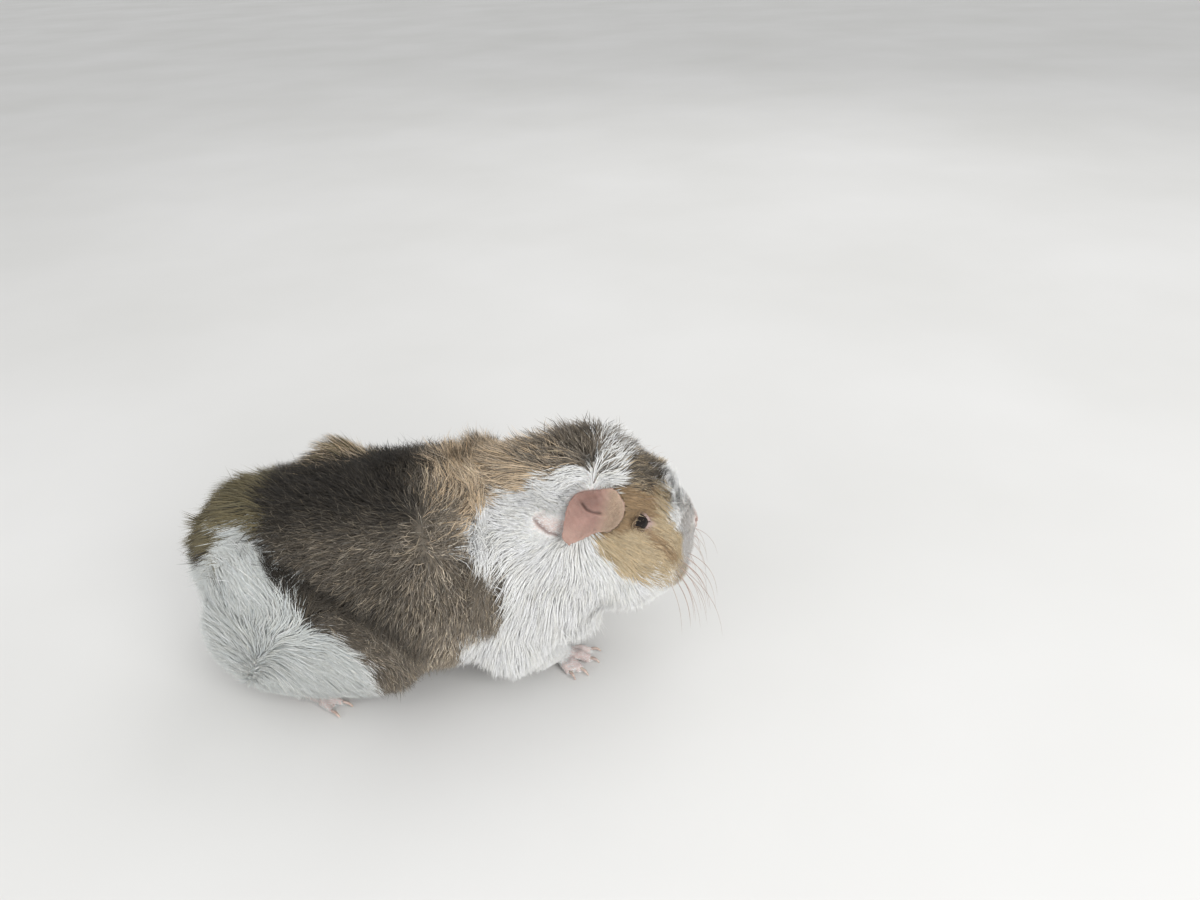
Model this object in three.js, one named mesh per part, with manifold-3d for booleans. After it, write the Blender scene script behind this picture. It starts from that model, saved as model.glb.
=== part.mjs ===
// A guinea pig of a rosetted breed, crouched with its feet flat on the floor, at life size.
// Millimetres. +X runs to the nose, +Y to the animal's left and +Z up; the floor is z = 0.
// The solids are the outside of the coat, parted where a person would name the parts.
// Paired parts are drawn for the left side, with y as the distance out from the middle.
import * as THREE from "three";
import { mergeVertices } from "three/addons/utils/BufferGeometryUtils.js";
import Module from "manifold-3d";

const wasm = await Module();
wasm.setup();

// ---- Driving dimensions ----
const RUMP = 2; // x of the hindmost point
const NOSE = 249; // x of the foremost point
const GAP = 0.35; // between neighbouring solids
const EYE_RADIUS = 5.4;
const EAR_THICKNESS = 1.8;
const TOE_RADIUS = 2.5;
const CLAW_LENGTH = 6.5;
const CLAW_RADIUS = 1.0;
const CLAW_SEAT = 2; // how far a claw is set back into its toe
const SOLE_CUT = 0.9; // how much of each foot is cut flat where it rests on the floor

// ---- Colours ----
const AGOUTI = 0x7d6f5d;
const WHITE = 0xe6e6e2;
const CREAM = 0xc9aa7a;
const SKIN_PINK = 0xc99a94;
const CLAW_HORN = 0xd9c3b0;
const EYE_BLACK = 0x16100e;

const LEFT = 1;
const RIGHT = -1;

// ---- The body as sections across X ----
// x: along the body. z: height of the widest line. up, down, half: reach above, below and beside it.
const BODY = [
  { name: "rump", x: RUMP, z: 60, up: 0, down: 0, half: 0 },
  { name: "rump face", x: 9, z: 59, up: 24, down: 24, half: 17 },
  { name: "hips", x: 27, z: 56, up: 47, down: 44, half: 33 },
  { name: "loin", x: 60, z: 52, up: 56, down: 47, half: 45 },
  { name: "flank", x: 95, z: 50, up: 62, down: 45, half: 53 },
  { name: "ribs", x: 128, z: 50, up: 64, down: 42, half: 55 },
  { name: "shoulders", x: 155, z: 54, up: 61, down: 44, half: 50 },
  { name: "neck", x: 178, z: 60, up: 57, down: 48, half: 44 },
  { name: "breast", x: 192, z: 65, up: 55, down: 46, half: 40 },
  { name: "throat", x: 204, z: 68, up: 52, down: 39, half: 37 },
  { name: "crown", x: 216, z: 68, up: 46, down: 35, half: 34 },
  { name: "brow", x: 228, z: 68, up: 37, down: 34, half: 29 },
  { name: "bridge", x: 238, z: 69, up: 26, down: 31, half: 21 },
  { name: "muzzle", x: 245, z: 71, up: 14, down: 23, half: 13 },
  { name: "nose", x: NOSE, z: 73, up: 0, down: 0, half: 0 },
];
const BODY_SIDES = 28;
const BODY_RINGS = 35;
const END_CROWDING = 0.75; // how far the rings crowd towards both ends
const BODY_CORE = [28, 222]; // the forms below push out from a line along the body between these two x

// Swellings and hollows laid over the sections. at: x, y, z.
// They come in pairs, or single on the middle line, except where a side is named.
const FORMS = [
  { name: "crest of standing hair", at: [204, 0, 122], reach: 16, rise: 8 },
  { name: "mane", at: [180, 0, 117], reach: 14, rise: 5 },
  { name: "tuft of the far hip", at: [75, 30, 105], reach: 12, rise: 14, side: LEFT },
  { name: "cheek", at: [217, 30, 52], reach: 16, rise: 3 },
  { name: "jaw", at: [221, 15, 36], reach: 12, rise: 2 },
  { name: "whisker pad", at: [240, 12, 51], reach: 8, rise: 3.5 },
  { name: "fringe of the breast", at: [194, 10, 17], reach: 12, rise: 8 },
  { name: "eye hollow", at: [221, 25, 90], reach: 8, rise: -1.5 },
  { name: "seat of the ear", at: [200, 30, 99], reach: 12, rise: -4 },
];

// ---- Where the body is parted: x at the floor, and degrees the cut leans back towards the top ----
const PARTINGS = [
  { name: "trunk", x: 180, lean: 12 },
  { name: "neck", x: 212, lean: 13 },
  { name: "head", x: 400, lean: 0 },
];

// ---- Grooves cut along the surface of the muzzle ----
// path: x, and degrees around from the top, of points on the surface.
const NOSTRIL = { path: [[248.95, 120], [248.75, 80], [248.3, 55]], radius: 1 };
const MOUTH = { path: [[246.6, 181], [245.4, 172], [243, 160], [239.5, 150]], radius: 1.1 };
const SPLIT_LIP = { path: [[248.8, 180], [248, 180], [246, 180]], radius: 0.9 };

// ---- Limbs, from the hip or shoulder down ----
// tall, wide: half sizes square to the limb, upright and level.
const HAUNCH = [
  { at: [15, 20, 55], tall: 0, wide: 0 },
  { at: [26, 26, 50], tall: 36, wide: 17 },
  { at: [47, 34, 45], tall: 39, wide: 22 },
  { at: [80, 39, 38], tall: 33, wide: 19 },
  { at: [103, 41, 32], tall: 26, wide: 15 },
  { at: [119, 41, 27], tall: 0, wide: 0 },
];
const FORELEG = [
  { at: [150, 34, 70], tall: 0, wide: 0 },
  { at: [153, 35, 56], tall: 18, wide: 12 },
  { at: [160, 33, 34], tall: 22, wide: 14 },
  { at: [169, 25, 19], tall: 14, wide: 12 },
  { at: [177, 18, 10], tall: 8, wide: 8 },
  { at: [184, 15, 6], tall: 0, wide: 0 },
];

// ---- Feet ----
// heel: x, y. heading: degrees outward from straight ahead. palm: half sizes.
// toes: degrees each spreads outward of the heading, its length, and where across the palm it starts.
const FORE_FOOT = {
  heel: [171.5, 8.5],
  heading: 34,
  palm: { long: 9, wide: 6.5, high: 4.8 },
  toes: [
    { spread: -32, length: 11, across: -5 },
    { spread: -12, length: 13, across: -2 },
    { spread: 10, length: 13, across: 2 },
    { spread: 24, length: 10, across: 5 },
  ],
};
const HIND_FOOT = {
  heel: [39, 30],
  heading: 17,
  palm: { long: 17, wide: 6.5, high: 5.5 },
  toes: [
    { spread: -8, length: 12, across: -4 },
    { spread: 4, length: 14, across: 0 },
    { spread: 18, length: 12, across: 4 },
  ],
};

// ---- Ears and eyes ----
// An ear is a thin drooping petal. facing: the way its hollow side looks.
// rim: reach from its middle at even turns, starting ahead and going over the top.
// bowl: the hollow above its fold, ahead of and above the middle.
const EAR = {
  middle: [200, 30.4, 97.9],
  facing: [0.05, 0.75, 0.66],
  rim: [14, 15, 11, 12.8, 13, 19, 8.5, 11],
  cup: 3,
  bowl: { ahead: -1, above: 5, reach: 6, depth: 2 },
  root: { path: [[200, 30, 98], [201, 24, 95], [202, 18, 92]], long: 8, tall: 6 },
};
const EYE = [219.5, 23, 88.5];

// ---- Geometry helpers ----
function solidOf(geometry) {
  const g = geometry.toNonIndexed();
  g.deleteAttribute("normal");
  g.deleteAttribute("uv");
  const merged = mergeVertices(g, 1e-4);
  return new wasm.Manifold(
    new wasm.Mesh({
      numProp: 3,
      vertProperties: new Float32Array(merged.attributes.position.array),
      triVerts: new Uint32Array(merged.index.array),
    }),
  );
}

function geometryOf(solid) {
  const mesh = solid.getMesh();
  const g = new THREE.BufferGeometry();
  g.setAttribute("position", new THREE.BufferAttribute(mesh.vertProperties.slice(), 3));
  g.setIndex(new THREE.BufferAttribute(mesh.triVerts.slice(), 1));
  g.computeVertexNormals();
  return g;
}

// A sphere whose points are carried to place(along, around): along runs 0..1 from pole to pole.
// For the right side the points are mirrored, and each triangle turned to face out again.
function carried(sides, rings, side, place) {
  const g = new THREE.SphereGeometry(1, sides, rings);
  const { position, uv } = g.attributes;
  const point = new THREE.Vector3();
  for (let i = 0; i < position.count; i++) {
    place(1 - uv.getY(i), uv.getX(i) * 2 * Math.PI, point);
    position.setXYZ(i, point.x, point.y * side, point.z);
  }
  if (side === RIGHT) g.index.array.reverse();
  return solidOf(g);
}

const rootOf = (square) => Math.sqrt(Math.max(square, 0));
const turned = (degrees) => THREE.MathUtils.degToRad(degrees);
const curveThrough = (points) => new THREE.CatmullRomCurve3(points.map((p) => new THREE.Vector3(...p)));

// Rings crowd towards both ends, where the form closes.
function crowded(along) {
  return THREE.MathUtils.lerp(along, (1 - Math.cos(Math.PI * along)) / 2, END_CROWDING);
}

// A closed tube about a curve. radii(t) gives the upright and level half sizes of its oval section.
function tube(curve, side, sides, rings, radii) {
  const up = new THREE.Vector3(0, 0, 1);
  return carried(sides, rings, side, (along, around, point) => {
    const t = crowded(along);
    const onward = curve.getTangent(t);
    const level = up.clone().cross(onward).normalize();
    const upright = onward.clone().cross(level);
    const [tall, wide] = along === 0 || along === 1 ? [0, 0] : radii(t);
    point.copy(curve.getPoint(t));
    point.addScaledVector(upright, tall * Math.cos(around));
    point.addScaledVector(level, wide * Math.sin(around));
  });
}

const FAR = 600;
const ABOVE_FLOOR = solidOf(new THREE.BoxGeometry(FAR, FAR, FAR).translate(0, 0, FAR / 2));

// Everything ahead of a parting.
function aheadOf({ x, lean }, set = 0) {
  const g = new THREE.BoxGeometry(FAR, FAR, FAR).translate(FAR / 2, 0, 0);
  return solidOf(g.rotateY(turned(-lean)).translate(x + set, 0, 0));
}

// ---- Body ----
// Squares of the reaches run smoothly to zero at the ends, which makes the ends round.
const bodyCurve = new THREE.CubicInterpolant(
  BODY.map((row) => row.x),
  BODY.flatMap((row) => [row.z, row.up ** 2, row.down ** 2, row.half ** 2]),
  4,
);

// The point of the body's surface at x, turned around from the top, pushed out by the forms and swell.
function bodyPoint(x, around, swell, point) {
  const [z, up, down, half] = bodyCurve.evaluate(x);
  const rise = Math.cos(around) * rootOf(Math.cos(around) > 0 ? up : down);
  point.set(x, rootOf(half) * Math.sin(around), z + rise);
  const core = new THREE.Vector3(THREE.MathUtils.clamp(x, ...BODY_CORE), 0, z);
  const out = point.clone().sub(core).normalize();
  const centre = new THREE.Vector3();
  let push = swell;
  for (const form of FORMS) {
    const side = form.side ?? (point.y < 0 ? RIGHT : LEFT);
    centre.set(form.at[0], form.at[1] * side, form.at[2]);
    push += form.rise * Math.exp(-point.distanceToSquared(centre) / form.reach ** 2);
  }
  return point.addScaledVector(out, push);
}

function bodySolid(swell = 0) {
  return carried(BODY_SIDES, BODY_RINGS, LEFT, (along, around, point) => {
    bodyPoint(THREE.MathUtils.lerp(RUMP, NOSE, crowded(along)), around, swell, point);
  });
}

function groove({ path, radius }, side) {
  const line = path.map(([x, around]) => bodyPoint(x, turned(around), 0, new THREE.Vector3()));
  return tube(new THREE.CatmullRomCurve3(line), side, 5, 5, (t) => {
    const r = radius * rootOf(1 - (2 * t - 1) ** 4);
    return [r, r];
  });
}

function limb(rows, side, swell = 0) {
  const reaches = new THREE.CubicInterpolant(
    rows.map((row, i) => i / (rows.length - 1)),
    rows.flatMap(({ tall, wide }) => [tall ** 2, wide ** 2]),
    2,
  );
  const radii = (t) => [...reaches.evaluate(t)].map((square) => rootOf(square) + swell);
  return tube(curveThrough(rows.map((row) => row.at)), side, 16, 10, radii);
}

// ---- Feet ----
function footParts(foot, side) {
  const { long, wide, high } = foot.palm;
  const frame = new THREE.Matrix4().makeRotationZ(turned(foot.heading)).setPosition(...foot.heel, 0);
  const placed = (points) => new THREE.CatmullRomCurve3(points.map((p) => p.applyMatrix4(frame)));
  const rest = TOE_RADIUS - SOLE_CUT;

  const palm = (swell) => {
    const curve = placed([
      new THREE.Vector3(0, 0, high - SOLE_CUT),
      new THREE.Vector3(2 * long, 0, high - SOLE_CUT - 1),
    ]);
    const oval = (t) => rootOf(1 - (2 * t - 1) ** 2);
    return tube(curve, side, 10, 6, (t) => [oval(t) * high + swell, oval(t) * wide + swell]);
  };

  const digits = foot.toes.map(({ spread, length, across }) => {
    const way = new THREE.Vector3(Math.cos(turned(spread)), Math.sin(turned(spread)), 0);
    const start = new THREE.Vector3(1.45 * long, across, 0);
    const at = (distance, z) => start.clone().addScaledVector(way, distance).setZ(z);
    const plump = (t) => TOE_RADIUS * rootOf(1 - (2 * t - 1) ** 6) * (1 + 0.1 * Math.cos(4 * Math.PI * t));
    const taper = (t) => CLAW_RADIUS * Math.sqrt(Math.min(1, 8 * t) * (1 - t));
    const toeLine = [at(0, rest + 1), at(0.45 * length, rest + 1.6), at(0.8 * length, rest + 0.3), at(length, rest)];
    const clawLine = [
      at(length - CLAW_SEAT, rest + 0.8),
      at(length + 0.3 * CLAW_LENGTH, rest + 1.2),
      at(length + CLAW_LENGTH - CLAW_SEAT, 0.3 * CLAW_RADIUS),
    ];
    const toeCurve = placed(toeLine);
    const clawCurve = placed(clawLine);
    return {
      toe: (swell) => tube(toeCurve, side, 7, 5, (t) => [plump(t) + swell, plump(t) + swell]),
      claw: (swell) => tube(clawCurve, side, 5, 4, (t) => [taper(t) + swell, taper(t) + swell]),
    };
  });

  const whole = (swell) => digits.reduce((sum, digit) => sum.add(digit.toe(swell)), palm(swell));
  const seated = digits.reduce((rest, digit) => rest.subtract(digit.claw(GAP)), whole(0));
  return {
    pad: seated.intersect(ABOVE_FLOOR),
    clearance: whole(GAP),
    claws: digits.map((digit) => digit.claw(0).intersect(ABOVE_FLOOR)),
  };
}

// ---- Ears ----
function ear(side) {
  const facing = new THREE.Vector3(...EAR.facing).normalize();
  const ahead = new THREE.Vector3(1, 0, 0).projectOnPlane(facing).normalize();
  const above = ahead.clone().cross(facing);
  const turns = EAR.rim.length;
  const rim = new THREE.CatmullRomCurve3(
    EAR.rim.map((reach, i) => {
      const angle = (2 * Math.PI * i) / turns;
      return new THREE.Vector3(reach * Math.cos(angle), reach * Math.sin(angle), 0);
    }),
    true,
  );
  const { bowl } = EAR;
  const petal = carried(20, 8, side, (along, around, point) => {
    const out = Math.sin(Math.PI * along);
    const edge = rim.getPoint(around / (2 * Math.PI)).multiplyScalar(out);
    const face = (EAR_THICKNESS / 2) * -Math.cos(Math.PI * along);
    const sink = bowl.depth * Math.exp(-((edge.x - bowl.ahead) ** 2 + (edge.y - bowl.above) ** 2) / bowl.reach ** 2);
    point.set(...EAR.middle);
    point.addScaledVector(ahead, edge.x);
    point.addScaledVector(above, edge.y);
    point.addScaledVector(facing, EAR.cup * out ** 2 - sink + face);
  });
  const { path, long, tall } = EAR.root;
  const stalk = tube(curveThrough(path), side, 8, 4, (t) => {
    const oval = rootOf(1 - (2 * t - 1) ** 4);
    return [oval * tall, oval * long];
  });
  return petal.add(stalk);
}

// ---- Assembly ----
const root = new THREE.Group();

function add(name, solid, colour, roughness = 0.9) {
  const material = new THREE.MeshStandardMaterial({ color: colour, roughness, metalness: 0 });
  const mesh = new THREE.Mesh(geometryOf(solid), material);
  mesh.name = name;
  root.add(mesh);
}

let body = bodySolid();
const bodyClearance = bodySolid(GAP);

for (const side of [RIGHT, LEFT]) {
  const label = side === LEFT ? "left" : "right";
  const hind = footParts(HIND_FOOT, side);
  const fore = footParts(FORE_FOOT, side);
  const eyeball = (swell) => {
    const g = new THREE.SphereGeometry(EYE_RADIUS + swell, 12, 8);
    return solidOf(g.translate(EYE[0], EYE[1] * side, EYE[2]));
  };
  const cuts = [
    limb(HAUNCH, side, GAP),
    limb(FORELEG, side, GAP),
    hind.clearance,
    fore.clearance,
    eyeball(GAP),
    groove(NOSTRIL, side),
    groove(MOUTH, side),
  ];
  body = cuts.reduce((rest, cut) => rest.subtract(cut), body);

  add(`haunch_${label}`, limb(HAUNCH, side).subtract(hind.clearance), WHITE);
  add(`foreleg_${label}`, limb(FORELEG, side).subtract(fore.clearance), WHITE);
  add(`foot_hind_${label}`, hind.pad, SKIN_PINK, 0.6);
  add(`foot_fore_${label}`, fore.pad, SKIN_PINK, 0.6);
  hind.claws.forEach((claw, i) => add(`claw_hind_${label}_${i + 1}`, claw, CLAW_HORN, 0.5));
  fore.claws.forEach((claw, i) => add(`claw_fore_${label}_${i + 1}`, claw, CLAW_HORN, 0.5));
  add(`eye_${label}`, eyeball(0), EYE_BLACK, 0.1);
  add(`ear_${label}`, ear(side).subtract(bodyClearance), SKIN_PINK, 0.6);
}

body = body.subtract(groove(SPLIT_LIP, LEFT));
const coatOf = { trunk: AGOUTI, neck: WHITE, head: CREAM };
PARTINGS.forEach((parting, i) => {
  const behind = i > 0 ? body.intersect(aheadOf(PARTINGS[i - 1], GAP)) : body;
  add(parting.name, behind.subtract(aheadOf(parting)), coatOf[parting.name]);
});

// The origin is under the middle of the whole, on the floor.
const extent = new THREE.Box3().setFromObject(root);
const middle = extent.getCenter(new THREE.Vector3());
root.position.set(-middle.x, -middle.y, -extent.min.z);

export default root;
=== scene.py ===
"""A guinea pig, life-size, as a still museum model: one skin, two eyes, the claws, and a rough coat
made of solid tufts."""
import bpy
import math
import numpy as np
from mathutils import Matrix, Vector
from mathutils.bvhtree import BVHTree
from mathutils.kdtree import KDTree


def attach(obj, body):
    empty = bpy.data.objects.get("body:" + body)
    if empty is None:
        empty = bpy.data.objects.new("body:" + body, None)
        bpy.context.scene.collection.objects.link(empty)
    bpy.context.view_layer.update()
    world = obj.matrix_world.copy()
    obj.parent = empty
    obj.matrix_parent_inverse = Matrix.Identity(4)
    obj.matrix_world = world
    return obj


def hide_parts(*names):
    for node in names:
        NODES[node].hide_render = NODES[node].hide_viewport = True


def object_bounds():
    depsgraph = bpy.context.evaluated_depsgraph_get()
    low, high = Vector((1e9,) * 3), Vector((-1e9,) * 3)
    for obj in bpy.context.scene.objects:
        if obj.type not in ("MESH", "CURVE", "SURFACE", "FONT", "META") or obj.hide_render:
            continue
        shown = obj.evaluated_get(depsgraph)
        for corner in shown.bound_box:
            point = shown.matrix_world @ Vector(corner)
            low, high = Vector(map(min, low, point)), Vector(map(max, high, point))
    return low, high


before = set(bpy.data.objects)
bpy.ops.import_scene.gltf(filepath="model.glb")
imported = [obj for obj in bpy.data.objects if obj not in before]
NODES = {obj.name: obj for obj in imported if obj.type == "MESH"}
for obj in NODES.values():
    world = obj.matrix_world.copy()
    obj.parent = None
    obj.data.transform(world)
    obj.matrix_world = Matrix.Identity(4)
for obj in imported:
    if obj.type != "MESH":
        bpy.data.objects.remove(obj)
cad_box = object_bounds()
MM = 0.001
RNG = np.random.default_rng(20611)

# ---------------------------------------------------------------- small tools (millimetres throughout)


def vec(*a):
    return np.array(a, float)


def unit(v):
    return v / np.maximum(np.linalg.norm(v, axis=-1, keepdims=True), 1e-9)


def row_length(v):
    """The length of each row of v."""
    return np.linalg.norm(v, axis=1)


def on_skin(f, n):
    return f - (f * n).sum(1, keepdims=True) * n


def bell(d, width):
    """1 where d is 0, falling off evenly to both sides."""
    return np.exp(-(d / width) ** 2)


def smoothstep(x, a, b):
    t = np.clip((x - a) / (b - a), 0, 1)
    return t * t * (3 - 2 * t)


def to_one_side(p):
    """The points p, with those of the right side mirrored onto the left."""
    return p * vec(1, 0, 1) + np.abs(p[:, 1:2]) * vec(0, 1, 0)


def side_of(p):
    """1 on the left side and on the middle plane, -1 on the right side, as a column."""
    return np.sign(p[:, 1:2]) + (p[:, 1:2] == 0)


def leaning(side, x, y, z):
    """The way (x, y, z) at each point, with y towards the point's own side."""
    return np.concatenate([0 * side + x, y * side, 0 * side + z], 1)


def off_segment(p, a, b):
    """From the nearest place of the segment a-b to each of the points p."""
    ab = b - a
    t = np.clip(((p - a) @ ab) / (ab @ ab), 0, 1)
    return p - (a + t[:, None] * ab)


def read_mesh(me):
    v = np.empty(len(me.vertices) * 3, np.float32)
    me.vertices.foreach_get("co", v)
    me.calc_loop_triangles()
    t = np.empty(len(me.loop_triangles) * 3, np.int32)
    me.loop_triangles.foreach_get("vertices", t)
    return v.reshape(-1, 3).astype(float) / MM, t.reshape(-1, 3)


def welded(v, t):
    key = np.round(v * 50).astype(np.int64)
    _, first, back = np.unique(key, axis=0, return_index=True, return_inverse=True)
    t = back.reshape(-1)[t]
    return v[first], t[(t[:, 0] != t[:, 1]) & (t[:, 1] != t[:, 2]) & (t[:, 2] != t[:, 0])]


def summed(index, values, n):
    return np.stack([np.bincount(index, values[:, k], n) for k in range(values.shape[1])], 1)


def vertex_normals(v, t):
    n = np.cross(v[t[:, 1]] - v[t[:, 0]], v[t[:, 2]] - v[t[:, 0]])
    return unit(sum(summed(t[:, k], n, len(v)) for k in range(3)))


def edges_of(t):
    e = np.concatenate([t[:, [0, 1]], t[:, [1, 2]], t[:, [2, 0]]])
    return np.unique(np.sort(e, 1), axis=0)


def spread(values, e, n, times, share=1.0):
    """values at the vertices, averaged with their neighbours."""
    degree = np.bincount(e.ravel(), minlength=n)[:, None]
    for _ in range(times):
        around = summed(e[:, 0], values[e[:, 1]], n) + summed(e[:, 1], values[e[:, 0]], n)
        values = values + share * (around / np.maximum(degree, 1) - values)
    return values


def new_mesh(name, v, faces, smooth=True):
    me = bpy.data.meshes.new(name)
    me.vertices.add(len(v))
    me.vertices.foreach_set("co", (v * MM).astype(np.float32).ravel())
    me.loops.add(faces.size)
    me.loops.foreach_set("vertex_index", faces.astype(np.int32).ravel())
    me.polygons.add(len(faces))
    me.polygons.foreach_set("loop_start", np.arange(0, faces.size, faces.shape[1], dtype=np.int32))
    if smooth:
        me.polygons.foreach_set("use_smooth", np.ones(len(faces), bool))
    me.update(calc_edges=True)
    return me


def new_object(name, me, material=None):
    o = bpy.data.objects.new(name, me)
    bpy.context.scene.collection.objects.link(o)
    if material:
        me.materials.append(material)
    return o


def linear(r, g, b):
    c = vec(r, g, b) / 255
    return np.where(c <= 0.04045, c / 12.92, ((c + 0.055) / 1.055) ** 2.4)


def ripple(p, size, seed):
    """A smooth made-up field from -1 to 1, with features about size across."""
    r = np.random.default_rng(seed)
    out = 0
    for k in range(7):
        d = unit(r.normal(size=3)) * 2 * math.pi / (size * r.uniform(1.2, 3.2))
        out = (out + np.sin(p @ d + r.uniform(0, 6.28)
                            + 1.3 * np.sin(p @ (d[[1, 2, 0]] * 0.7) + r.uniform(0, 6.28))))
    return np.clip(out / 3.6, -1, 1)


# ---------------------------------------------------------------- the animal's own measures
SIDES = {"right": -1, "left": 1}
EYE = vec(94.0, 23.0, 88.5)
EYE_RADIUS = 5.4
GRAIN = 0.85         # mm, the skin's grain before it is refined
SKIN_KEPT = 0.4      # the share of the skin's triangles that stays
HAIRS = 183000       # the most strands
CLAW_GROWTH = 0.13   # mm, by which the rounded claws stand out over the solids
# depth is how far the skin lies inside the solids, length the hair's own:
# one line for each place, left and right alike
COAT = [  # name, x, |y|, z, depth, length
    ("nose tip", 123, 2.5, 73, 0.15, 1.0),
    ("nose top", 119.5, 0, 84, 0.9, 3),
    ("upper lip", 121, 4, 61, 1.9, 2.0),
    ("mouth", 120, 3, 54, 2.9, 1.8),
    ("muzzle side", 113, 16, 69, 1.3, 3.2),
    ("lower lip", 118.5, 0, 48, 3.4, 3),
    ("whisker pad", 115, 13, 54, 2.6, 3.6),
    ("chin", 110, 0, 40, 3.2, 6),
    ("bridge", 107, 0, 98, 3.0, 10.5),
    ("bridge front", 113, 4, 92, 2.0, 8.5),
    ("bridge side", 107, 15, 91, 1.8, 8.5),
    ("below the bridge", 112, 17, 80, 1.2, 4),
    ("brow", 99, 6, 106, 4.5, 10),
    ("eye", 94, 29, 89, 0.5, 2.4),
    ("under the eye", 97, 33, 76, 1.4, 6),
    ("temple", 86, 29, 97, 1.0, 4.5),
    ("cheek", 91, 35, 62, 3.6, 12),
    ("jaw", 96, 20, 38, 4.5, 13),
    ("crown", 87, 10, 114, 5.5, 13),
    ("crest", 75, 0, 124, 12, 20),
    ("mane", 55, 0, 117, 10, 22),
    ("nape whorl", 76, 20, 111, 4.5, 15),
    ("bare patch", 55, 34, 95, 0.9, 1.8),
    ("bare edge", 60, 34, 95, 1.4, 2.2),
    ("over the patch", 57, 26, 106, 7, 13),
    ("behind the ear", 62, 36, 86, 4, 15),
    ("under the ear", 72, 36, 78, 4, 15),
    ("collar", 33, 45, 80, 8, 22),
    ("low collar", 53, 43, 60, 8, 22),
    ("chest", 70, 26, 36, 8, 20),
    ("throat", 88, 8, 31, 6, 15),
    ("withers", 25, 15, 113, 8, 20),
    ("ridge", 10, 9, 114, 10, 24),
    ("flank whorl", -1, 38, 96, 3.5, 14),
    ("flank", -20, 53, 70, 7, 16),
    ("loin", -42, 0, 114, 6.5, 15),
    ("loin side", -48, 40, 91, 6.5, 16),
    ("rump", -90, 8, 101, 8, 19),
    ("rump end", -116, 10, 72, 8, 19),
    ("belly", 0, 15, 6, 3, 12),
    ("low flank", 0, 51, 32, 7, 16),
    ("haunch", -72, 55, 55, 5, 19),
    ("haunch top", -82, 38, 82, 6, 23),
    ("thigh", -52, 52, 62, 5, 19),
    ("thigh strip", -38, 52, 57, 4.5, 14),
    ("haunch foot", -62, 54, 18, 5.5, 13),
    ("haunch sole", -70, 45, 6, 4.5, 7),
    ("knee sole", -30, 45, 6, 4.5, 8),
    ("knee", -16, 52, 32, 6, 16),
    ("hock", -80, 38, 8, 3, 8),
    ("hind toes", -62, 37, 4, 0.15, 1.6),
    ("foreleg", 38, 45, 44, 6, 18),
    ("forearm", 49, 27, 20, 2.2, 6),
    ("elbow", 44, 36, 18, 4, 10),
    ("wrist", 53, 23, 9, 0.7, 2.6),
    ("fringe end", 62, 24, 22, 3.5, 8),
    ("fringe low", 67, 10, 15, 3.5, 8),
    ("fore toes", 63, 17, 3, 0.12, 1.5),
]
# the hair runs away from these: a start and end of each parting, how near it counts,
# and how much farther across
WHORLS = [
    (vec(-3, 32, 101), vec(-0.5, 43, 90), 0.85, 1.0),
    (vec(75.5, 20, 111), vec(69, 35, 90), 0.5, 1.0),
    (vec(121, 0, 80), vec(121.5, 0, 74), 0.78, 1.9),
]
# x and z of the parting along the thigh
HIP_LINE = [(-125, 4), (-104, 8), (-92, 18), (-78, 38), (-64, 50), (-45, 50), (-20, 42)]
# where it stands up: place, reach, how much
STANDING = [
    (vec(75, 0, 124), 15, 0.6), (vec(55, 0, 118), 12, 0.5), (vec(107, 0, 99), 10, 0.9),
    (vec(107, 13, 94), 8, 0.8), (vec(114, 4, 91), 9, 0.75), (vec(11, 9, 111), 10, 0.9),
]
# the valley between the flank and the thigh, sunk into the skin and painted darker as shade: x and z along
# it, and the notch at its foot, also painted dark as shade
VALLEY = [(-88, 95), (-77, 86), (-67, 80.5), (-57, 75.7), (-48, 70.4), (-39, 67), (-30, 62.5), (-24, 59.4),
          (-16.5, 52.7), (-7.6, 41)]
# x and z of the line from the eye down to the muzzle
TEAR = [(98.7, 85.6), (101.7, 82.9), (104.8, 78.8), (108.6, 72.1), (111.3, 65)]


def off_path(a, b, path):
    """How far the points (a, b) of a plane are from a line through the places of path."""
    out = np.full(len(a), 1e3)
    for (a0, b0), (a1, b1) in zip(path, path[1:]):
        l2 = (a1 - a0) ** 2 + (b1 - b0) ** 2
        t = np.clip(((a - a0) * (a1 - a0) + (b - b0) * (b1 - b0)) / l2, 0, 1)
        out = np.minimum(out, np.hypot(a - a0 - t * (a1 - a0), b - b0 - t * (b1 - b0)))
    return out


def valley(p):
    """1 along the valley between flank and thigh, and in the notch under it."""
    off = off_path(p[:, 0], p[:, 2], VALLEY)
    notch = row_length(to_one_side(p) - vec(-7.6, 53.8, 41))
    return (np.maximum(bell(off, 3.6), bell(notch, 4.5)) * smoothstep(np.abs(p[:, 1]), 14, 28)
            * smoothstep(p[:, 0], -94, -76))


def coat_fields(p):
    """depth and length at the points p, from the nearest places of COAT."""
    q = to_one_side(p)
    places = np.array([row[1:4] for row in COAT], float)
    values = np.array([row[4:6] for row in COAT], float)
    d2 = ((q[:, None, :] - places[None]) ** 2).sum(2) + 4
    w = d2 ** -2.2
    return (w @ values) / w.sum(1, keepdims=True)


def away(p, n, a, b, across=1.0):
    """the unit direction on the skin away from the segment a-b, and the distance to it."""
    r = off_segment(p, a, b)
    dist = row_length(r * vec(1, across, 1))
    return unit(on_skin(r, n)), dist


def from_whorls(p, n, softness=7.0):
    """The way the hair runs away from all the partings, the nearest counting most."""
    total, weight = 0, 0
    rows = []
    for a, b, near, across in WHORLS:
        for s in (1, -1):
            k = vec(1, s, 1)
            f, dist = away(p, n, a * k, b * k, across)
            rows.append((f, near * dist))
    least = np.min([r[1] for r in rows], 0)
    for f, dist in rows:
        w = np.exp(-(dist - least) / softness)[:, None]
        total, weight = total + w * f, weight + w
    return total / weight


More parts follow.
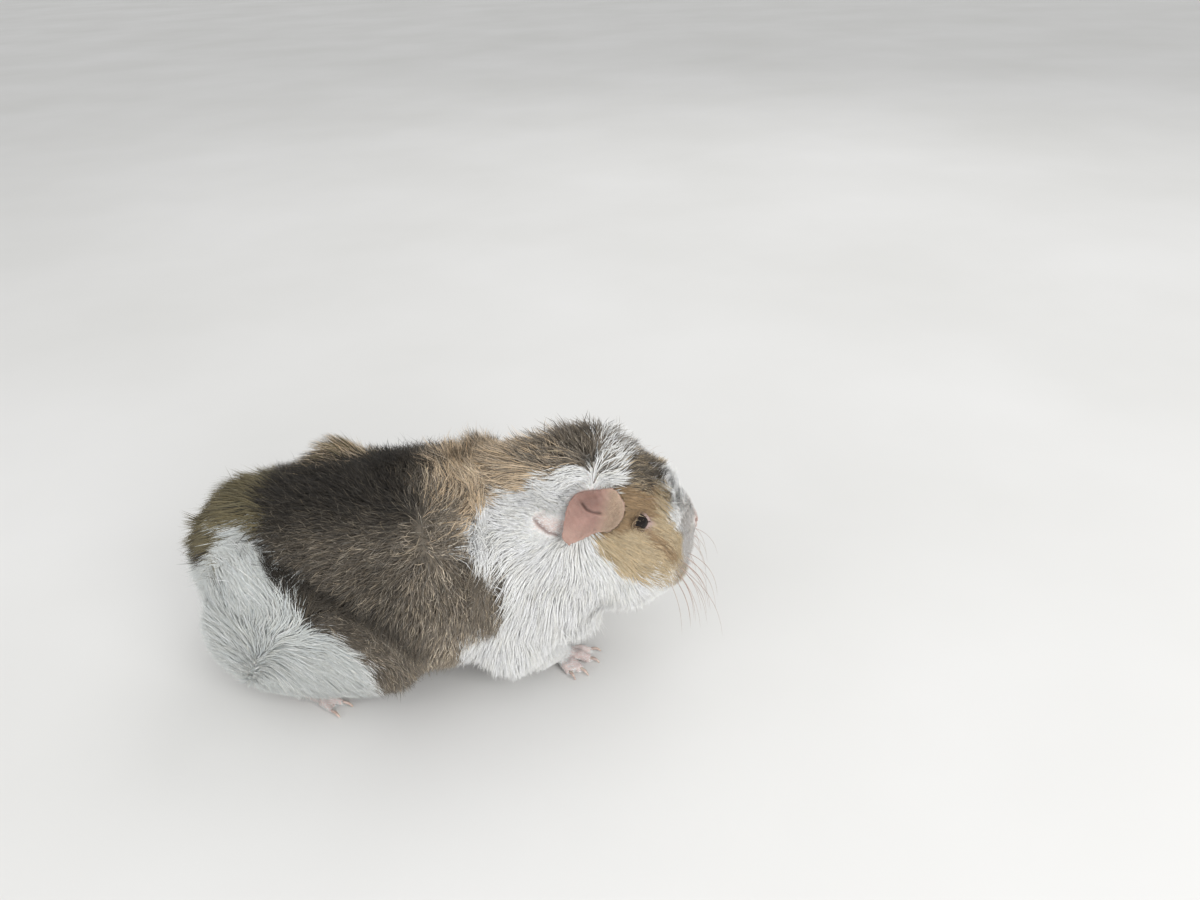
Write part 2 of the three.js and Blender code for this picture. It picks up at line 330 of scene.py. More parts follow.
def lie(p, n, region):
    """The way the hair lies at p: its length is under 1 where hairs meet from two sides and so stand up."""
    side = side_of(p)
    body = from_whorls(p, n)
    droop = on_skin(np.broadcast_to(vec(-0.15, 0, -1), p.shape), n)
    low = smoothstep(p[:, 2:3], 75, 25)
    body = body + droop * (0.12 + 0.35 * low) * smoothstep(p[:, 0:1], 100, 80)
    belly = smoothstep(-n[:, 2:3], 0.4, 0.9)
    body = body * (1 - belly) + belly * on_skin(np.broadcast_to(vec(-1, 0, -0.2), p.shape), n)
    tuft = bell(row_length(p - vec(11, 0, 109) - 11 * side * vec(0, 1, 0)), 9)[:, None]
    body = body * (1 - tuft) + tuft * on_skin(leaning(side, -0.15, -0.5, 0.8), n)
    hip = on_skin(over_the_hip(p), n)
    leg = on_skin(leaning(side, 0.1, 0, -1), n)
    foot = on_skin(leaning(side, 1, 0.3, -0.25), n)
    ear = on_skin(leaning(side, -0.3, 0.7, 0.4), n)
    f = sum(region[:, k:k + 1] * g for k, g in enumerate((body, hip, leg, foot, ear)))
    size = np.linalg.norm(f, axis=1, keepdims=True)
    return f / np.maximum(size, 1e-6) * np.minimum(size, 1)


def over_the_hip(p):
    """Up above the parting and down below it, more and more ahead towards the knee, and back round the
    end of the body."""
    side = side_of(p)
    line = np.interp(p[:, 0], *np.array(HIP_LINE).T) + 3 * ripple(p, 16, 51)
    above = smoothstep(p[:, 2] - line, -13, 13)[:, None]
    turn = (0.85 * bell(p[:, 2] - line, 10) * smoothstep(p[:, 0], -104, -78))[:, None]
    ahead, back = smoothstep(p[:, :1], -74, -44), smoothstep(-p[:, :1], 80, 106)
    high = vec(-0.22, 0, 1) * (1 - ahead) + vec(0.95, 0, -0.1) * ahead
    low = vec(0.35, 0, -1) * (1 - ahead) + vec(0.85, 0, -0.6) * ahead - vec(0.45, 0, 0) * back
    behind = np.concatenate([0 * side - 0.7, -0.7 * side,
                             np.interp(p[:, 2:3], [5, 20, 55, 90], [-0.6, 0.05, 0.5, 0.6])], 1)
    sway = 0.28 * np.stack([ripple(p, 20, 52), 0 * p[:, 0], ripple(p, 20, 53)], 1)
    return (above * high + (1 - above) * low + turn * vec(1, 0, 0.35)) * (1 - back) + behind * back + sway


def round_the_eye(f, p, n):
    """The way f, turned outwards from the eyes near them."""
    for axes in eye_axes.values():
        c, out = axes[0], axes[1]
        r = p - (c + out * EYE_RADIUS * 0.9 + vec(-1.2, 0, 0))
        r = on_skin(r, n)
        d = np.linalg.norm(r, axis=1, keepdims=True)
        near = bell(d, 5.0) * (np.linalg.norm(p - c, axis=1, keepdims=True) < 12)
        f = f * (1 - 0.85 * near) + 0.85 * near * r / np.maximum(d, 0.3)
    return f


def standing(p):
    """How much the hair stands up, from STANDING on both sides and from the tuft on the left hip."""
    out = np.zeros(len(p))
    for at, reach, much in STANDING:
        for s in (1, -1):
            d = row_length(p - at * vec(1, s, 1))
            out = np.maximum(out, much * bell(d, reach))
    d = row_length(p - vec(-50, 30, 105))
    return np.maximum(out, 0.8 * bell(d, 13))


def at_whorl(p, reach=5):
    """1 at the middle of a whorl, fading out over a few millimetres."""
    out = np.zeros(len(p))
    for a, b, _, _ in WHORLS[:2]:
        for s in (1, -1):
            k = vec(1, s, 1)
            d = row_length(off_segment(p, a * k, b * k))
            out = np.maximum(out, bell(d, reach))
    return out


# ---------------------------------------------------------------- markings and painted shade
WHITE, CREAM, TAN = linear(246, 245, 241), linear(204, 184, 151), linear(165, 140, 109)
SAND, OLIVE = linear(219, 196, 166), linear(119, 110, 83)
AGOUTI, DARK, TICKED = linear(121, 112, 100), linear(90, 83, 74), linear(148, 138, 122)
PINK, EAR_PINK, PAD_PINK = linear(212, 193, 188), linear(158, 126, 116), linear(206, 178, 168)
# both of these are white with painted shade: greyed for the muzzle's front and for the haunch
MUZZLE_SHADE, SHADED = linear(200, 195, 190), linear(211, 214, 211)
FAWNS = np.stack([WHITE, CREAM, TAN, SAND, OLIVE, MUZZLE_SHADE, SHADED, AGOUTI])
BROWN = 7


def marking_and_shade(p):
    """At points p on the body: the shares of FAWNS, summing to 1, with painted shade among them, and how
    light the agouti is, partly from painted shade.
    """
    x, y, z = p[:, 0], np.abs(p[:, 1]), p[:, 2]
    wob = 2.2 * ripple(p, 14, 3) + 1.2 * ripple(p, 6, 4)
    left = p[:, 1] > 0
    wob = wob + np.where(left, 3.0 * ripple(p, 40, 9), 0)
    collar = np.interp(z, [0, 30, 43, 46, 49, 58, 66, 75, 83, 93,
                           99, 103, 106, 108, 111, 114, 118, 122, 128],
                       [8, 9, 13, 22, 29, 34.5, 33.5, 27, 21, 18.5, 21, 25, 31, 41, 47, 57, 69, 76, 82])
    white_body = smoothstep(x - collar + wob, -1.5, 1.5)
    cheek = np.interp(z, [40, 45, 54, 62, 71.5, 80, 87, 95, 103, 108, 112, 130],
                      [121, 112, 102, 91, 83, 76, 75, 79, 85, 91, 92.5, 93.5])
    head = smoothstep(x - cheek + 0.7 * wob, -1.5, 1.5)
    brow = (smoothstep(x + 0.5 * wob, 87, 91) * smoothstep(y + 0.5 * wob, 22, 17)
            * smoothstep(z + 0.5 * wob, 98, 101))
    temple = smoothstep(z + 0.5 * wob, 84, 90) * (1 - brow) * smoothstep(x, 106, 102)
    tear = bell(off_path(x, z, TEAR), 2.2) * smoothstep(y, 17, 21)
    temple = np.maximum(temple, 0.95 * tear)
    face = np.interp(z, [40, 47, 52, 57, 61, 68, 77, 80, 83, 89, 93, 95.6, 99, 101.5, 104],
                     [4, 9, 14, 16.6, 17.2, 18.2, 18.6, 20.4, 20.4, 19.4, 17.8, 16, 12, 6.5, 2])
    blaze = smoothstep(face - y + 0.8 * wob, -0.8, 0.8) * smoothstep(x + 0.5 * wob, 103.6, 105.6)
    haunch = np.interp(x, [-125, -112, -105, -99, -88, -82, -73, -62, -58,
                           -53, -48, -43, -34, -28.5, -28.4],
                       [70, 73, 79.5, 91, 92, 90, 83.5, 75.5, 71.5, 66.5, 61.5, 57, 48.5, 40, -5])
    white_hip = smoothstep(haunch - z + wob, -1.5, 1.5)
    ridge = bell(np.hypot(x - 12 + 0.5 * wob, (y - 8) * 0.5), 10) * smoothstep(z, 102, 108)
    ridge = np.maximum(ridge,
                       bell(x - 20 + 0.6 * wob, 4.5) * smoothstep(z, 94, 101) * smoothstep(y, 10, 22))
    band = (smoothstep(x + wob, 14, 20) * smoothstep(x, 64, 46) * smoothstep(z, 98, 103)
            * (1 - 0.75 * smoothstep(x, 30, 46) * smoothstep(y, 15, 7)))
    rump = smoothstep(-x + wob, 77, 84) * smoothstep(z - haunch + wob, -1, 2)
    notch = bell(np.hypot(x + 100, z - 81), 3) * smoothstep(y, 18, 24)
    far = np.where(left, np.minimum(1, 1.5 * bell(row_length(p - vec(-50, 30, 108)), 15)), 0)
    fan = smoothstep(x, 66, 74) * smoothstep(z, 113, 119)

    brow = brow * np.clip(0.88 + 0.3 * ripple(p, 5, 12), 0, 1)
    # brown hair is mixed into the white fan behind the crown: painted shade between its locks
    white = np.maximum(white_body * (1 - head) * (1 - 0.45 * fan), white_hip * (x < 0) * (1 - 0.8 * notch))
    white = np.maximum(white, head * blaze)
    tan = head * temple * (1 - blaze)
    agouti_head = head * brow * (1 - blaze)
    cream = head * np.clip(1 - temple - brow, 0, 1) * (1 - blaze)
    pale_jaw = 0.4 * cream * smoothstep(z + 1.5 * wob, 66, 50)
    cream, white = cream - pale_jaw, white + pale_jaw
    rest = np.clip(1 - white - tan - agouti_head - cream, 0, 1)
    olive = rest * np.maximum.reduce([0.85 * rump, 1.0 * (notch > 0.03), 0.55 * far])
    rest = rest - olive
    sand = rest * np.clip(np.maximum.reduce([0.95 * ridge, 0.72 * band, 0.9 * far]), 0, 1)
    rest = rest - sand
    # the agouti is darker behind the shoulders, on top and at the rear, partly its own darker saddle and
    # partly painted shade; it is lighter low on the sides and on a patch at the front of the flank, and
    # darker on the brow
    light = 1.16 - 0.5 * smoothstep(-x, -8, 22) - 0.33 * smoothstep(-x, 45, 80) * smoothstep(z, 50, 75)
    light = light - 0.52 * smoothstep(z, 88, 108) * smoothstep(-x, -20, 10) + 0.38 * smoothstep(z, 62, 32)
    light = light + 0.16 * bell(np.hypot(x - 6, z - 90), 14) - 0.45 * agouti_head
    # the white of the muzzle's front is painted grey: painted shade
    muzzle_shade = white * 0.85 * smoothstep(x, 111, 117) * smoothstep(z, 90, 82)
    # the white of the haunch is painted greyer: painted shade
    hip = (white - muzzle_shade) * 0.9 * smoothstep(-x, 20, 40)
    shares = np.stack([white - muzzle_shade - hip, cream, tan, sand, olive, muzzle_shade, hip, rest + agouti_head], 1)
    return shares / np.maximum(shares.sum(1, keepdims=True), 1e-6), np.maximum(light, 0.17)


def plain_colour(p):
    shares, light = marking_and_shade(p)
    flat = FAWNS.copy()
    flat[BROWN] = 0.6 * AGOUTI + 0.2 * DARK + 0.2 * TICKED
    return shares[:, :BROWN] @ flat[:BROWN] + shares[:, BROWN:] * flat[BROWN] * light[:, None]


# ---------------------------------------------------------------- materials
def nodes_of(name):
    m = bpy.data.materials.new(name)
    m.use_nodes = True
    nt = m.node_tree
    b = nt.nodes["Principled BSDF"]
    return m, nt, b


def noise(nt, scale, detail=3.0, rough=0.5, stretch=None):
    n = nt.nodes.new("ShaderNodeTexNoise")
    n.inputs["Scale"].default_value = scale
    n.inputs["Detail"].default_value = detail
    n.inputs["Roughness"].default_value = rough
    at = nt.nodes.new("ShaderNodeTexCoord")
    if stretch:
        m = nt.nodes.new("ShaderNodeMapping")
        m.inputs["Scale"].default_value = stretch
        nt.links.new(at.outputs["Object"], m.inputs["Vector"])
        nt.links.new(m.outputs["Vector"], n.inputs["Vector"])
    else:
        nt.links.new(at.outputs["Object"], n.inputs["Vector"])
    return n


def ramp(nt, fac, stops):
    r = nt.nodes.new("ShaderNodeValToRGB")
    while len(r.color_ramp.elements) < len(stops):
        r.color_ramp.elements.new(0.5)
    for e, (at, c) in zip(r.color_ramp.elements, stops):
        e.position = at
        e.color = (*c, 1) if hasattr(c, "__len__") else (c, c, c, 1)
    nt.links.new(fac, r.inputs["Fac"])
    return r.outputs["Color"]


def shade(nt, b, socket, n, low, high, at=(0.3, 0.7)):
    """The surface's socket runs from low to high with the noise n."""
    nt.links.new(ramp(nt, n.outputs["Fac"], list(zip(at, (low, high)))), b.inputs[socket])


def times(nt, a, b):
    m = nt.nodes.new("ShaderNodeMix")
    m.data_type = "RGBA"
    m.blend_type = "MULTIPLY"
    m.inputs["Factor"].default_value = 1.0
    nt.links.new(a, m.inputs["A"])
    nt.links.new(b, m.inputs["B"])
    return m.outputs["Result"]


def bump(nt, b, height, strength, distance):
    k = nt.nodes.new("ShaderNodeBump")
    k.inputs["Strength"].default_value = strength
    k.inputs["Distance"].default_value = distance
    nt.links.new(height, k.inputs["Height"])
    nt.links.new(k.outputs["Normal"], b.inputs["Normal"])


def tinted(nt):
    a = nt.nodes.new("ShaderNodeAttribute")
    a.attribute_name = "tint"
    return a.outputs["Color"]


def hair_material():
    m, nt, b = nodes_of("coat_hair")
    n = noise(nt, 900, 2, 0.6)
    big = noise(nt, 60, 3, 0.6)
    c = times(nt, tinted(nt), ramp(nt, n.outputs["Fac"], [(0.3, 0.82), (0.7, 1.0)]))
    c = times(nt, c, ramp(nt, big.outputs["Fac"], [(0.3, 0.9), (0.65, 1.0)]))
    nt.links.new(c, b.inputs["Base Color"])
    shade(nt, b, "Roughness", n, 0.5, 0.72)
    b.inputs["Specular IOR Level"].default_value = 0.35
    return m


def skin_material():
    m, nt, b = nodes_of("skin")
    n = noise(nt, 260, 5, 0.6)
    fine = noise(nt, 1500, 3, 0.6)
    c = times(nt, tinted(nt), ramp(nt, n.outputs["Fac"], [(0.35, 0.86), (0.62, 1.0)]))
    nt.links.new(c, b.inputs["Base Color"])
    shade(nt, b, "Roughness", fine, 0.45, 0.62)
    b.inputs["Subsurface Weight"].default_value = 0.12
    b.inputs["Subsurface Radius"].default_value = (1.0, 0.45, 0.3)
    b.inputs["Subsurface Scale"].default_value = 0.0015
    b.inputs["Specular IOR Level"].default_value = 0.35
    bump(nt, b, fine.outputs["Fac"], 0.35, 0.0004)
    return m


def claw_material():
    m, nt, b = nodes_of("claw_horn")
    n = noise(nt, 700, 4, 0.6, (0.25, 1, 1))
    shade(nt, b, "Base Color", n, linear(158, 136, 126), linear(216, 198, 186))
    shade(nt, b, "Roughness", n, 0.28, 0.42)
    b.inputs["Subsurface Weight"].default_value = 0.15
    b.inputs["Subsurface Scale"].default_value = 0.001
    bump(nt, b, n.outputs["Fac"], 0.25, 0.0002)
    return m


def eye_material():
    m, nt, b = nodes_of("eye_dark")
    n = noise(nt, 500, 4, 0.6)
    shade(nt, b, "Base Color", n, linear(14, 9, 7), linear(28, 18, 14), (0.35, 0.7))
    b.inputs["Roughness"].default_value = 0.09
    b.inputs["Specular IOR Level"].default_value = 0.28
    return m


def whisker_material():
    m, nt, b = nodes_of("whisker")
    n = noise(nt, 300, 3, 0.5)
    shade(nt, b, "Base Color", n, linear(150, 128, 118), linear(186, 166, 155))
    shade(nt, b, "Roughness", n, 0.35, 0.5)
    return m


HAIR, SKIN = hair_material(), skin_material()

# ---------------------------------------------------------------- the skin
FLESH = (["trunk", "neck", "head"]
         + [f"{n}_{s}" for s in SIDES for n in ("haunch", "foreleg", "foot_hind", "foot_fore", "ear")])
REGION = {"haunch": 1, "foreleg": 2, "foot_hind": 3, "foot_fore": 3, "ear": 4}
parts, tris, labels, count = [], [], [], 0
for name in FLESH:
    v, t = welded(*read_mesh(NODES[name].data))
    v = v + 0.32 * vertex_normals(v, t)
    parts.append(v)
    tris.append(t + count)
    labels.append(np.full(len(t), REGION.get(name.rsplit("_", 1)[0], 0)))
    count += len(v)
hull_v, hull_t, hull_label = np.concatenate(parts), np.concatenate(tris), np.concatenate(labels)


def ball(centre, radius, rings=24, sides=36):
    a = np.linspace(0, math.pi, rings + 1)
    b = np.linspace(0, 2 * math.pi, sides, endpoint=False)
    v = ([vec(0, 0, 1)] + [vec(math.sin(i) * math.cos(j), math.sin(i) * math.sin(j), math.cos(i))
                           for i in a[1:-1] for j in b] + [vec(0, 0, -1)])
    t = []
    for k in range(sides):
        m = (k + 1) % sides
        t.append((0, 1 + k, 1 + m))
        for r in range(rings - 2):
            p, q = 1 + r * sides, 1 + (r + 1) * sides
            t += [(p + k, q + k, q + m), (p + k, q + m, p + m)]
        last = 1 + (rings - 2) * sides
        t.append((last + k, len(v) - 1, last + m))
    return np.array(v) * radius + centre, np.array(t)


whole_v, whole_t = [hull_v], [hull_t]
for s in SIDES.values():
    v, t = ball(EYE * vec(1, s, 1), EYE_RADIUS + 0.35)
    whole_t.append(t + sum(len(a) for a in whole_v))
    whole_v.append(v)
shell = new_object("shell", new_mesh("shell", np.concatenate(whole_v), np.concatenate(whole_t)))
remesh = shell.modifiers.new("one", "REMESH")
remesh.mode = "VOXEL"
remesh.voxel_size = GRAIN * MM
remesh.use_smooth_shade = True
deps = bpy.context.evaluated_depsgraph_get()
outer = bpy.data.meshes.new_from_object(shell.evaluated_get(deps))
bpy.data.objects.remove(shell)
v, t = read_mesh(outer)
e = edges_of(t)
for _ in range(4):
    v = spread(v, e, len(v), 1, 0.6)
    v = spread(v, e, len(v), 1, -0.63)
hull = BVHTree.FromPolygons(hull_v.tolist(), hull_t.tolist())
near = np.array([hull.find_nearest(Vector(p))[2] or 0 for p in v])
region = np.eye(5)[hull_label[near]]
region = spread(region, e, len(v), 6)
on_ears = smoothstep(region[:, 4], 0.3, 0.7)[:, None]
for _ in range(8):
    v = v + on_ears * (spread(v, e, len(v), 1, 0.6) - v)
    v = v + on_ears * (spread(v, e, len(v), 1, -0.63) - v)
fields = coat_fields(v)
depth, length = fields[:, 0], fields[:, 1]
length = length * (1 - region[:, 4]) + 1.3 * region[:, 4]
length = np.where(region[:, 3] > 0.5, np.minimum(length, 3.2), length)
depth = depth * (1 - smoothstep(region[:, 4], 0.2, 0.6))
depth = spread(depth[:, None], e, len(v), 4)[:, 0]
sunk = valley(v) * smoothstep(depth, 2, 4)
length = length * (1 - 0.3 * sunk)
depth = depth + 2.5 * sunk
normal = unit(spread(vertex_normals(v, t), e, len(v), 3))
skin_v = v - normal * depth[:, None]
calm = smoothstep(depth, 1.2, 4)[:, None]
for _ in range(6):
    skin_v = skin_v + calm * (spread(skin_v, e, len(v), 1, 0.5) - skin_v)


def refine(v, t, inside, *fields):
    """Splits in four each triangle that lies inside, and in two each one beside it, with the fields
    shared out."""
    e = edges_of(t)
    e = e[inside[e[:, 0]] & inside[e[:, 1]]]
    n = len(v)
    key = e[:, 0].astype(np.int64) * n + e[:, 1]
    order = np.argsort(key)

    def middle(a, b):
        want = np.minimum(a, b).astype(np.int64) * n + np.maximum(a, b)
        at = np.clip(np.searchsorted(key[order], want), 0, len(key) - 1)
        return np.where(key[order][at] == want, n + order[at], -1)

    m = np.stack([middle(t[:, k], t[:, (k + 1) % 3]) for k in range(3)], 1)
    split = (m >= 0).sum(1)
    out = [t[split == 0]]
    a, b = t[split == 3], m[split == 3]
    out += [np.stack(c, 1)
            for c in ((a[:, 0], b[:, 0], b[:, 2]), (b[:, 0], a[:, 1], b[:, 1]), (b[:, 2], b[:, 1], a[:, 2]),
                      (b[:, 0], b[:, 1], b[:, 2]))]
    for k in range(3):
        one = (split == 1) & (m[:, k] >= 0)
        a, c = t[one], m[one, k]
        p, q, r = a[:, k], a[:, (k + 1) % 3], a[:, (k + 2) % 3]
        out += [np.stack((p, c, r), 1), np.stack((c, q, r), 1)]
    grown = [np.concatenate([f, (f[e[:, 0]] + f[e[:, 1]]) / 2]) for f in (v, *fields)]
    return np.concatenate(out).astype(np.int32), grown


# finer skin where it has folds: the ears, the eyes, the nose and the lips
EAR = vec(74.5, 30.4, 97.9)
flat_abs = vec(1, -1, 1)
near_eyes = np.minimum(row_length(skin_v - EYE), row_length(skin_v - EYE * flat_abs)) < 8.5
fine_part = near_eyes | (region[:, 4] > 0.3) | (skin_v[:, 0] > 113.5)
t, (skin_v, v, region, depth, length, normal) = refine(
    skin_v, t, fine_part, v, region, depth, length, normal)
muzzle = (skin_v[:, 0] > 114) & (np.abs(skin_v[:, 1]) < 14) & (skin_v[:, 2] < 80) & (skin_v[:, 2] > 44)
t, (skin_v, v, region, depth, length, normal) = refine(
    skin_v, t, muzzle, v, region, depth, length, normal)
normal = unit(normal)
e = edges_of(t)

# the nose and lips, as heights over the muzzle's front: how far out from the middle, and z
NOSTRIL = [(1.5, 70.4), (2.0, 72.6), (3.6, 74.6), (5.2, 74.9)]
CLEFT = [(0, 70.5), (0, 57.5)]
LIPS = [(0, 57.5), (2.2, 55.6), (4.6, 54.0), (7.2, 53.0), (9.6, 52.9)]


def muzzle_marks(p):
    """Millimetres from the nostrils, the cleft under the nose and the line of the mouth; far from the
    front all are large."""
    y, z, aside = np.abs(p[:, 1]), p[:, 2], 60 * smoothstep(p[:, 0], 114, 111)
    return tuple(off_path(y, z, path) + aside for path in (NOSTRIL, CLEFT, LIPS))


y, z = np.abs(skin_v[:, 1]), skin_v[:, 2]
to_nostril, to_cleft, to_mouth = muzzle_marks(skin_v)
high = 0.7 * np.exp(-((y / 6.2) ** 2 + ((z - 73.3) / 5.0) ** 2) ** 1.5)
high = high - 1.5 * bell(to_nostril, 0.6) + 0.4 * bell(to_nostril - 1.4, 0.6)
high = (high + 0.8 * np.exp(-(((y - 4.4) / 3.4) ** 2 + ((z - 60.5) / 4) ** 2))
        + 0.5 * np.exp(-((y / 4.5) ** 2 + ((z - 50.5) / 2.6) ** 2)))
high = high - 0.7 * bell(to_cleft, 0.55) - 1.5 * bell(to_mouth, 0.7) * smoothstep(y, 10.5, 6)
skin_v = skin_v + (high * smoothstep(skin_v[:, 0], 111, 116))[:, None] * normal

# the ears' folds, as heights over the ear's own plane: u runs ahead, w up,
# and RIM is the ear's reach at each eighth of a turn
RIM = [14, 15, 11, 12.8, 13, 19, 8.5, 11]
CREASE = [vec(-4.7, 5.1), vec(-3.0, 2.6), vec(0.0, 1.2), vec(2.8, 0.6)]


def ear_plane(p, s):
    face = unit(vec(0.05, 0.75 * s, 0.66))
    u = unit(vec(1, 0, 0) - face[0] * face)
    w = np.cross(face, u) * s
    w = w * np.sign(w[2])
    r = p - EAR * vec(1, s, 1)
    return r @ u, r @ w, face


def ear_front(p):
    """1 on the ears' front flap, which is downy, 0 behind it."""
    out = np.zeros(len(p))
    for s in SIDES.values():
        u, w, _ = ear_plane(p, s)
        out = np.maximum(out, smoothstep(u - 0.25 * w, 3.5, 8.0) * (p[:, 1] * s > 0))
    return out


def folds(u, w):
    turn = np.degrees(np.arctan2(w, u)) % 360
    rim = np.interp(turn, np.arange(9) * 45, RIM + RIM[:1])
    edge = rim - np.hypot(u, w)
    d, below = np.full(len(u), 99.0), np.zeros(len(u))
    for a, b in zip(CREASE, CREASE[1:]):
        ab = b - a
        k = np.clip(((u - a[0]) * ab[0] + (w - a[1]) * ab[1]) / (ab @ ab), 0, 1)
        du, dw = u - a[0] - k * ab[0], w - a[1] - k * ab[1]
        dd = np.hypot(du, dw)
        below = np.where(dd < d, (du * ab[1] - dw * ab[0]) / np.sqrt(ab @ ab), below)
        d = np.minimum(d, dd)
    bowl = np.exp(-(((u + 0.8) / 5.6) ** 2 + ((w - 6.8) / 3.0) ** 2))
    high = (-1.9 * bowl - 0.75 * bell(d, 0.55)
            + 0.85 * bell(below - 1.2, 0.9) * bell(np.maximum(d - 1.4, 0), 1.2))
    high = (high + 0.8 * smoothstep(u - 0.25 * w, 1.5, 6.0) * smoothstep(edge, 0, 3)
            - 0.6 * np.exp(-(((u + 5) / 4) ** 2 + ((w + 4) / 3.6) ** 2)))
    high = high + 0.55 * bell(edge - 0.9, 0.8) + 0.12 * np.sin(2.1 * u + 1.3 * w)
    return high, bowl, d, edge


for s in SIDES.values():
    u, w, face = ear_plane(skin_v, s)
    mine = ((region[:, 4] > 0.25) & (skin_v[:, 1] * s > 0)
            & (np.abs((skin_v - EAR * vec(1, s, 1)) @ face) < 5))
    high = folds(u, w)[0]
    part = smoothstep(region[:, 4], 0.3, 0.8) * mine
    skin_v = skin_v + (part * high)[:, None] * face

# lids: the skin near each eye lies on the ball, a lid's thickness outside it,
# and passes behind it inside the almond
# the opening's half height and half width, as shares of the ball's radius
LID, ALMOND = 0.45, (0.68, 0.56)
eye_axes = {}


def half_width(a):
    """The opening's half width at the height a: it is a rounded triangle, wide below."""
    return ALMOND[1] * np.clip(1 - (a / ALMOND[0]) ** 2, 0, 1) * (1 - 0.45 * a / ALMOND[0])


def past_opening(a, b):
    return np.where(np.abs(a) < ALMOND[0], np.abs(b) - half_width(a), np.hypot(np.abs(a) - ALMOND[0], b))


for s in SIDES.values():
    c = EYE * vec(1, s, 1)
    r = skin_v - c
    close = row_length(v - c) < 8.5
    out = unit(normal[close].mean(0) + vec(0.02, 0, 0.04))
    along = unit(on_skin(vec(0.14, 0, 0.98)[None], out[None]))[0]
    up = unit(np.cross(out, along))
    eye_axes[s] = (c, out, along, up)
    dist = row_length(r)
    d = r / np.maximum(dist, 1e-6)[:, None]
    a, b, f = d @ along, d @ up, d @ out
    edge = past_opening(a, b) * EYE_RADIUS                 # millimetres outside the opening
    lid_r = EYE_RADIUS + LID * smoothstep(edge, -0.1, 0.9) - 1.6 * smoothstep(-edge, 0.0, 0.9)
    lid_r = lid_r + 0.25 * bell(edge - 1.0, 0.5) - 0.35 * bell(edge - 2.6, 0.7)
    hold = smoothstep(dist, 9.5, 6.5) * smoothstep(f, 0.15, 0.4) * smoothstep(edge, 5.0, 1.8)
    target = c + d * lid_r[:, None]
    skin_v = skin_v + hold[:, None] * (target - skin_v)


def almond_edge(p, axes):
    """Millimetres along the ball from a point near an eye to the opening's edge; far off it is large."""
    c, out, along, up = axes
    r = p - c
    d = unit(r)
    a, b, f = d @ along, d @ up, d @ out
    return np.where((f > 0.1) & (row_length(r) < 12), past_opening(a, b) * EYE_RADIUS, 99.0)


def ahead_of_eye(p, axes):
    """1 on the side of the eye towards the nose, 0 behind it."""
    rear = axes[3] * np.sign(-axes[3][0])
    return smoothstep(-unit(p - axes[0]) @ rear, 0.1, 0.5)


me = new_mesh("skin", skin_v, t)
skin = new_object("skin", me, SKIN)
keep = np.clip(0.15 + smoothstep(-depth, -3.0, -0.8)
               + smoothstep(skin_v[:, 0], 114, 117) * smoothstep(-z, -82, -76), 0, 1)
group = skin.vertex_groups.new(name="fewer")
for k in range(21):
    which = np.where(np.round(keep * 20) == k)[0]
    if len(which) and k < 20:
        group.add(which.tolist(), 1 - k / 20, "REPLACE")
fewer = skin.modifiers.new("fewer", "DECIMATE")
fewer.ratio = SKIN_KEPT
fewer.vertex_group = "fewer"
fewer.vertex_group_factor = 1.0
deps = bpy.context.evaluated_depsgraph_get()
thin = bpy.data.meshes.new_from_object(skin.evaluated_get(deps))
skin.modifiers.clear()
skin.vertex_groups.clear()
skin.data = thin
bpy.data.meshes.remove(me)
thin.name = "skin"
sv, st = read_mesh(thin)
full = KDTree(len(skin_v))
for k, p in enumerate(skin_v):
    full.insert(p, k)
full.balance()
came = np.array([full.find(p)[1] for p in sv])
s_region, s_depth, s_length, s_outer = region[came], depth[came], length[came], v[came]
se = edges_of(st)
s_normal = unit(spread(vertex_normals(sv, st), se, len(sv), 2))

bpy.ops.object.select_all(action="DESELECT")
bpy.context.view_layer.objects.active = skin
skin.select_set(True)
bpy.ops.object.mode_set(mode="EDIT")
bpy.ops.mesh.select_all(action="SELECT")
bpy.ops.uv.smart_project(angle_limit=math.radians(66), island_margin=0.002)
bpy.ops.object.mode_set(mode="OBJECT")
thin = skin.data
thin.uv_layers[0].name = "OFBake"
uv = np.empty(len(thin.loops) * 2, np.float32)
thin.uv_layers["OFBake"].data.foreach_get("uv", uv)
corner = np.empty(len(thin.loop_triangles) * 3, np.int32)
thin.calc_loop_triangles()
thin.loop_triangles.foreach_get("loops", corner)
tri_uv = uv.reshape(-1, 2)[corner].reshape(-1, 3, 2)


def write_colour(me, rgb):
    a = me.color_attributes.new(name="tint", type="FLOAT_COLOR", domain="POINT")
    a.data.foreach_set("color", np.concatenate([rgb, np.ones((len(rgb), 1))], 1).astype(np.float32).ravel())


# ---------------------------------------------------------------- the skin's colours, its own and painted shade
# the bare patch behind each ear, and the fold under it, painted dark as shade: x and z
BARE = [(51, 97.5), (55, 95.5), (61, 94.5)]
FOLD = [(48.5, 98.6), (50.8, 96.1), (54.1, 93.1), (59.3, 90.8)]


def bare_patch(p):
    """1 on the bare patch behind the ear, and millimetres from the fold along it."""
    aside = 60 * smoothstep(np.abs(p[:, 1]), 26, 22)
    x, z = p[:, 0], p[:, 2]
    bare = np.exp(-((off_path(x, z, BARE) + aside) / 3.6) ** 4)
    return bare, off_path(x, z, FOLD) + aside


def blend(under, share, colour):
    share = np.clip(share, 0, 1)[:, None]
    return under + (colour - under) * share


plain = plain_colour(s_outer)
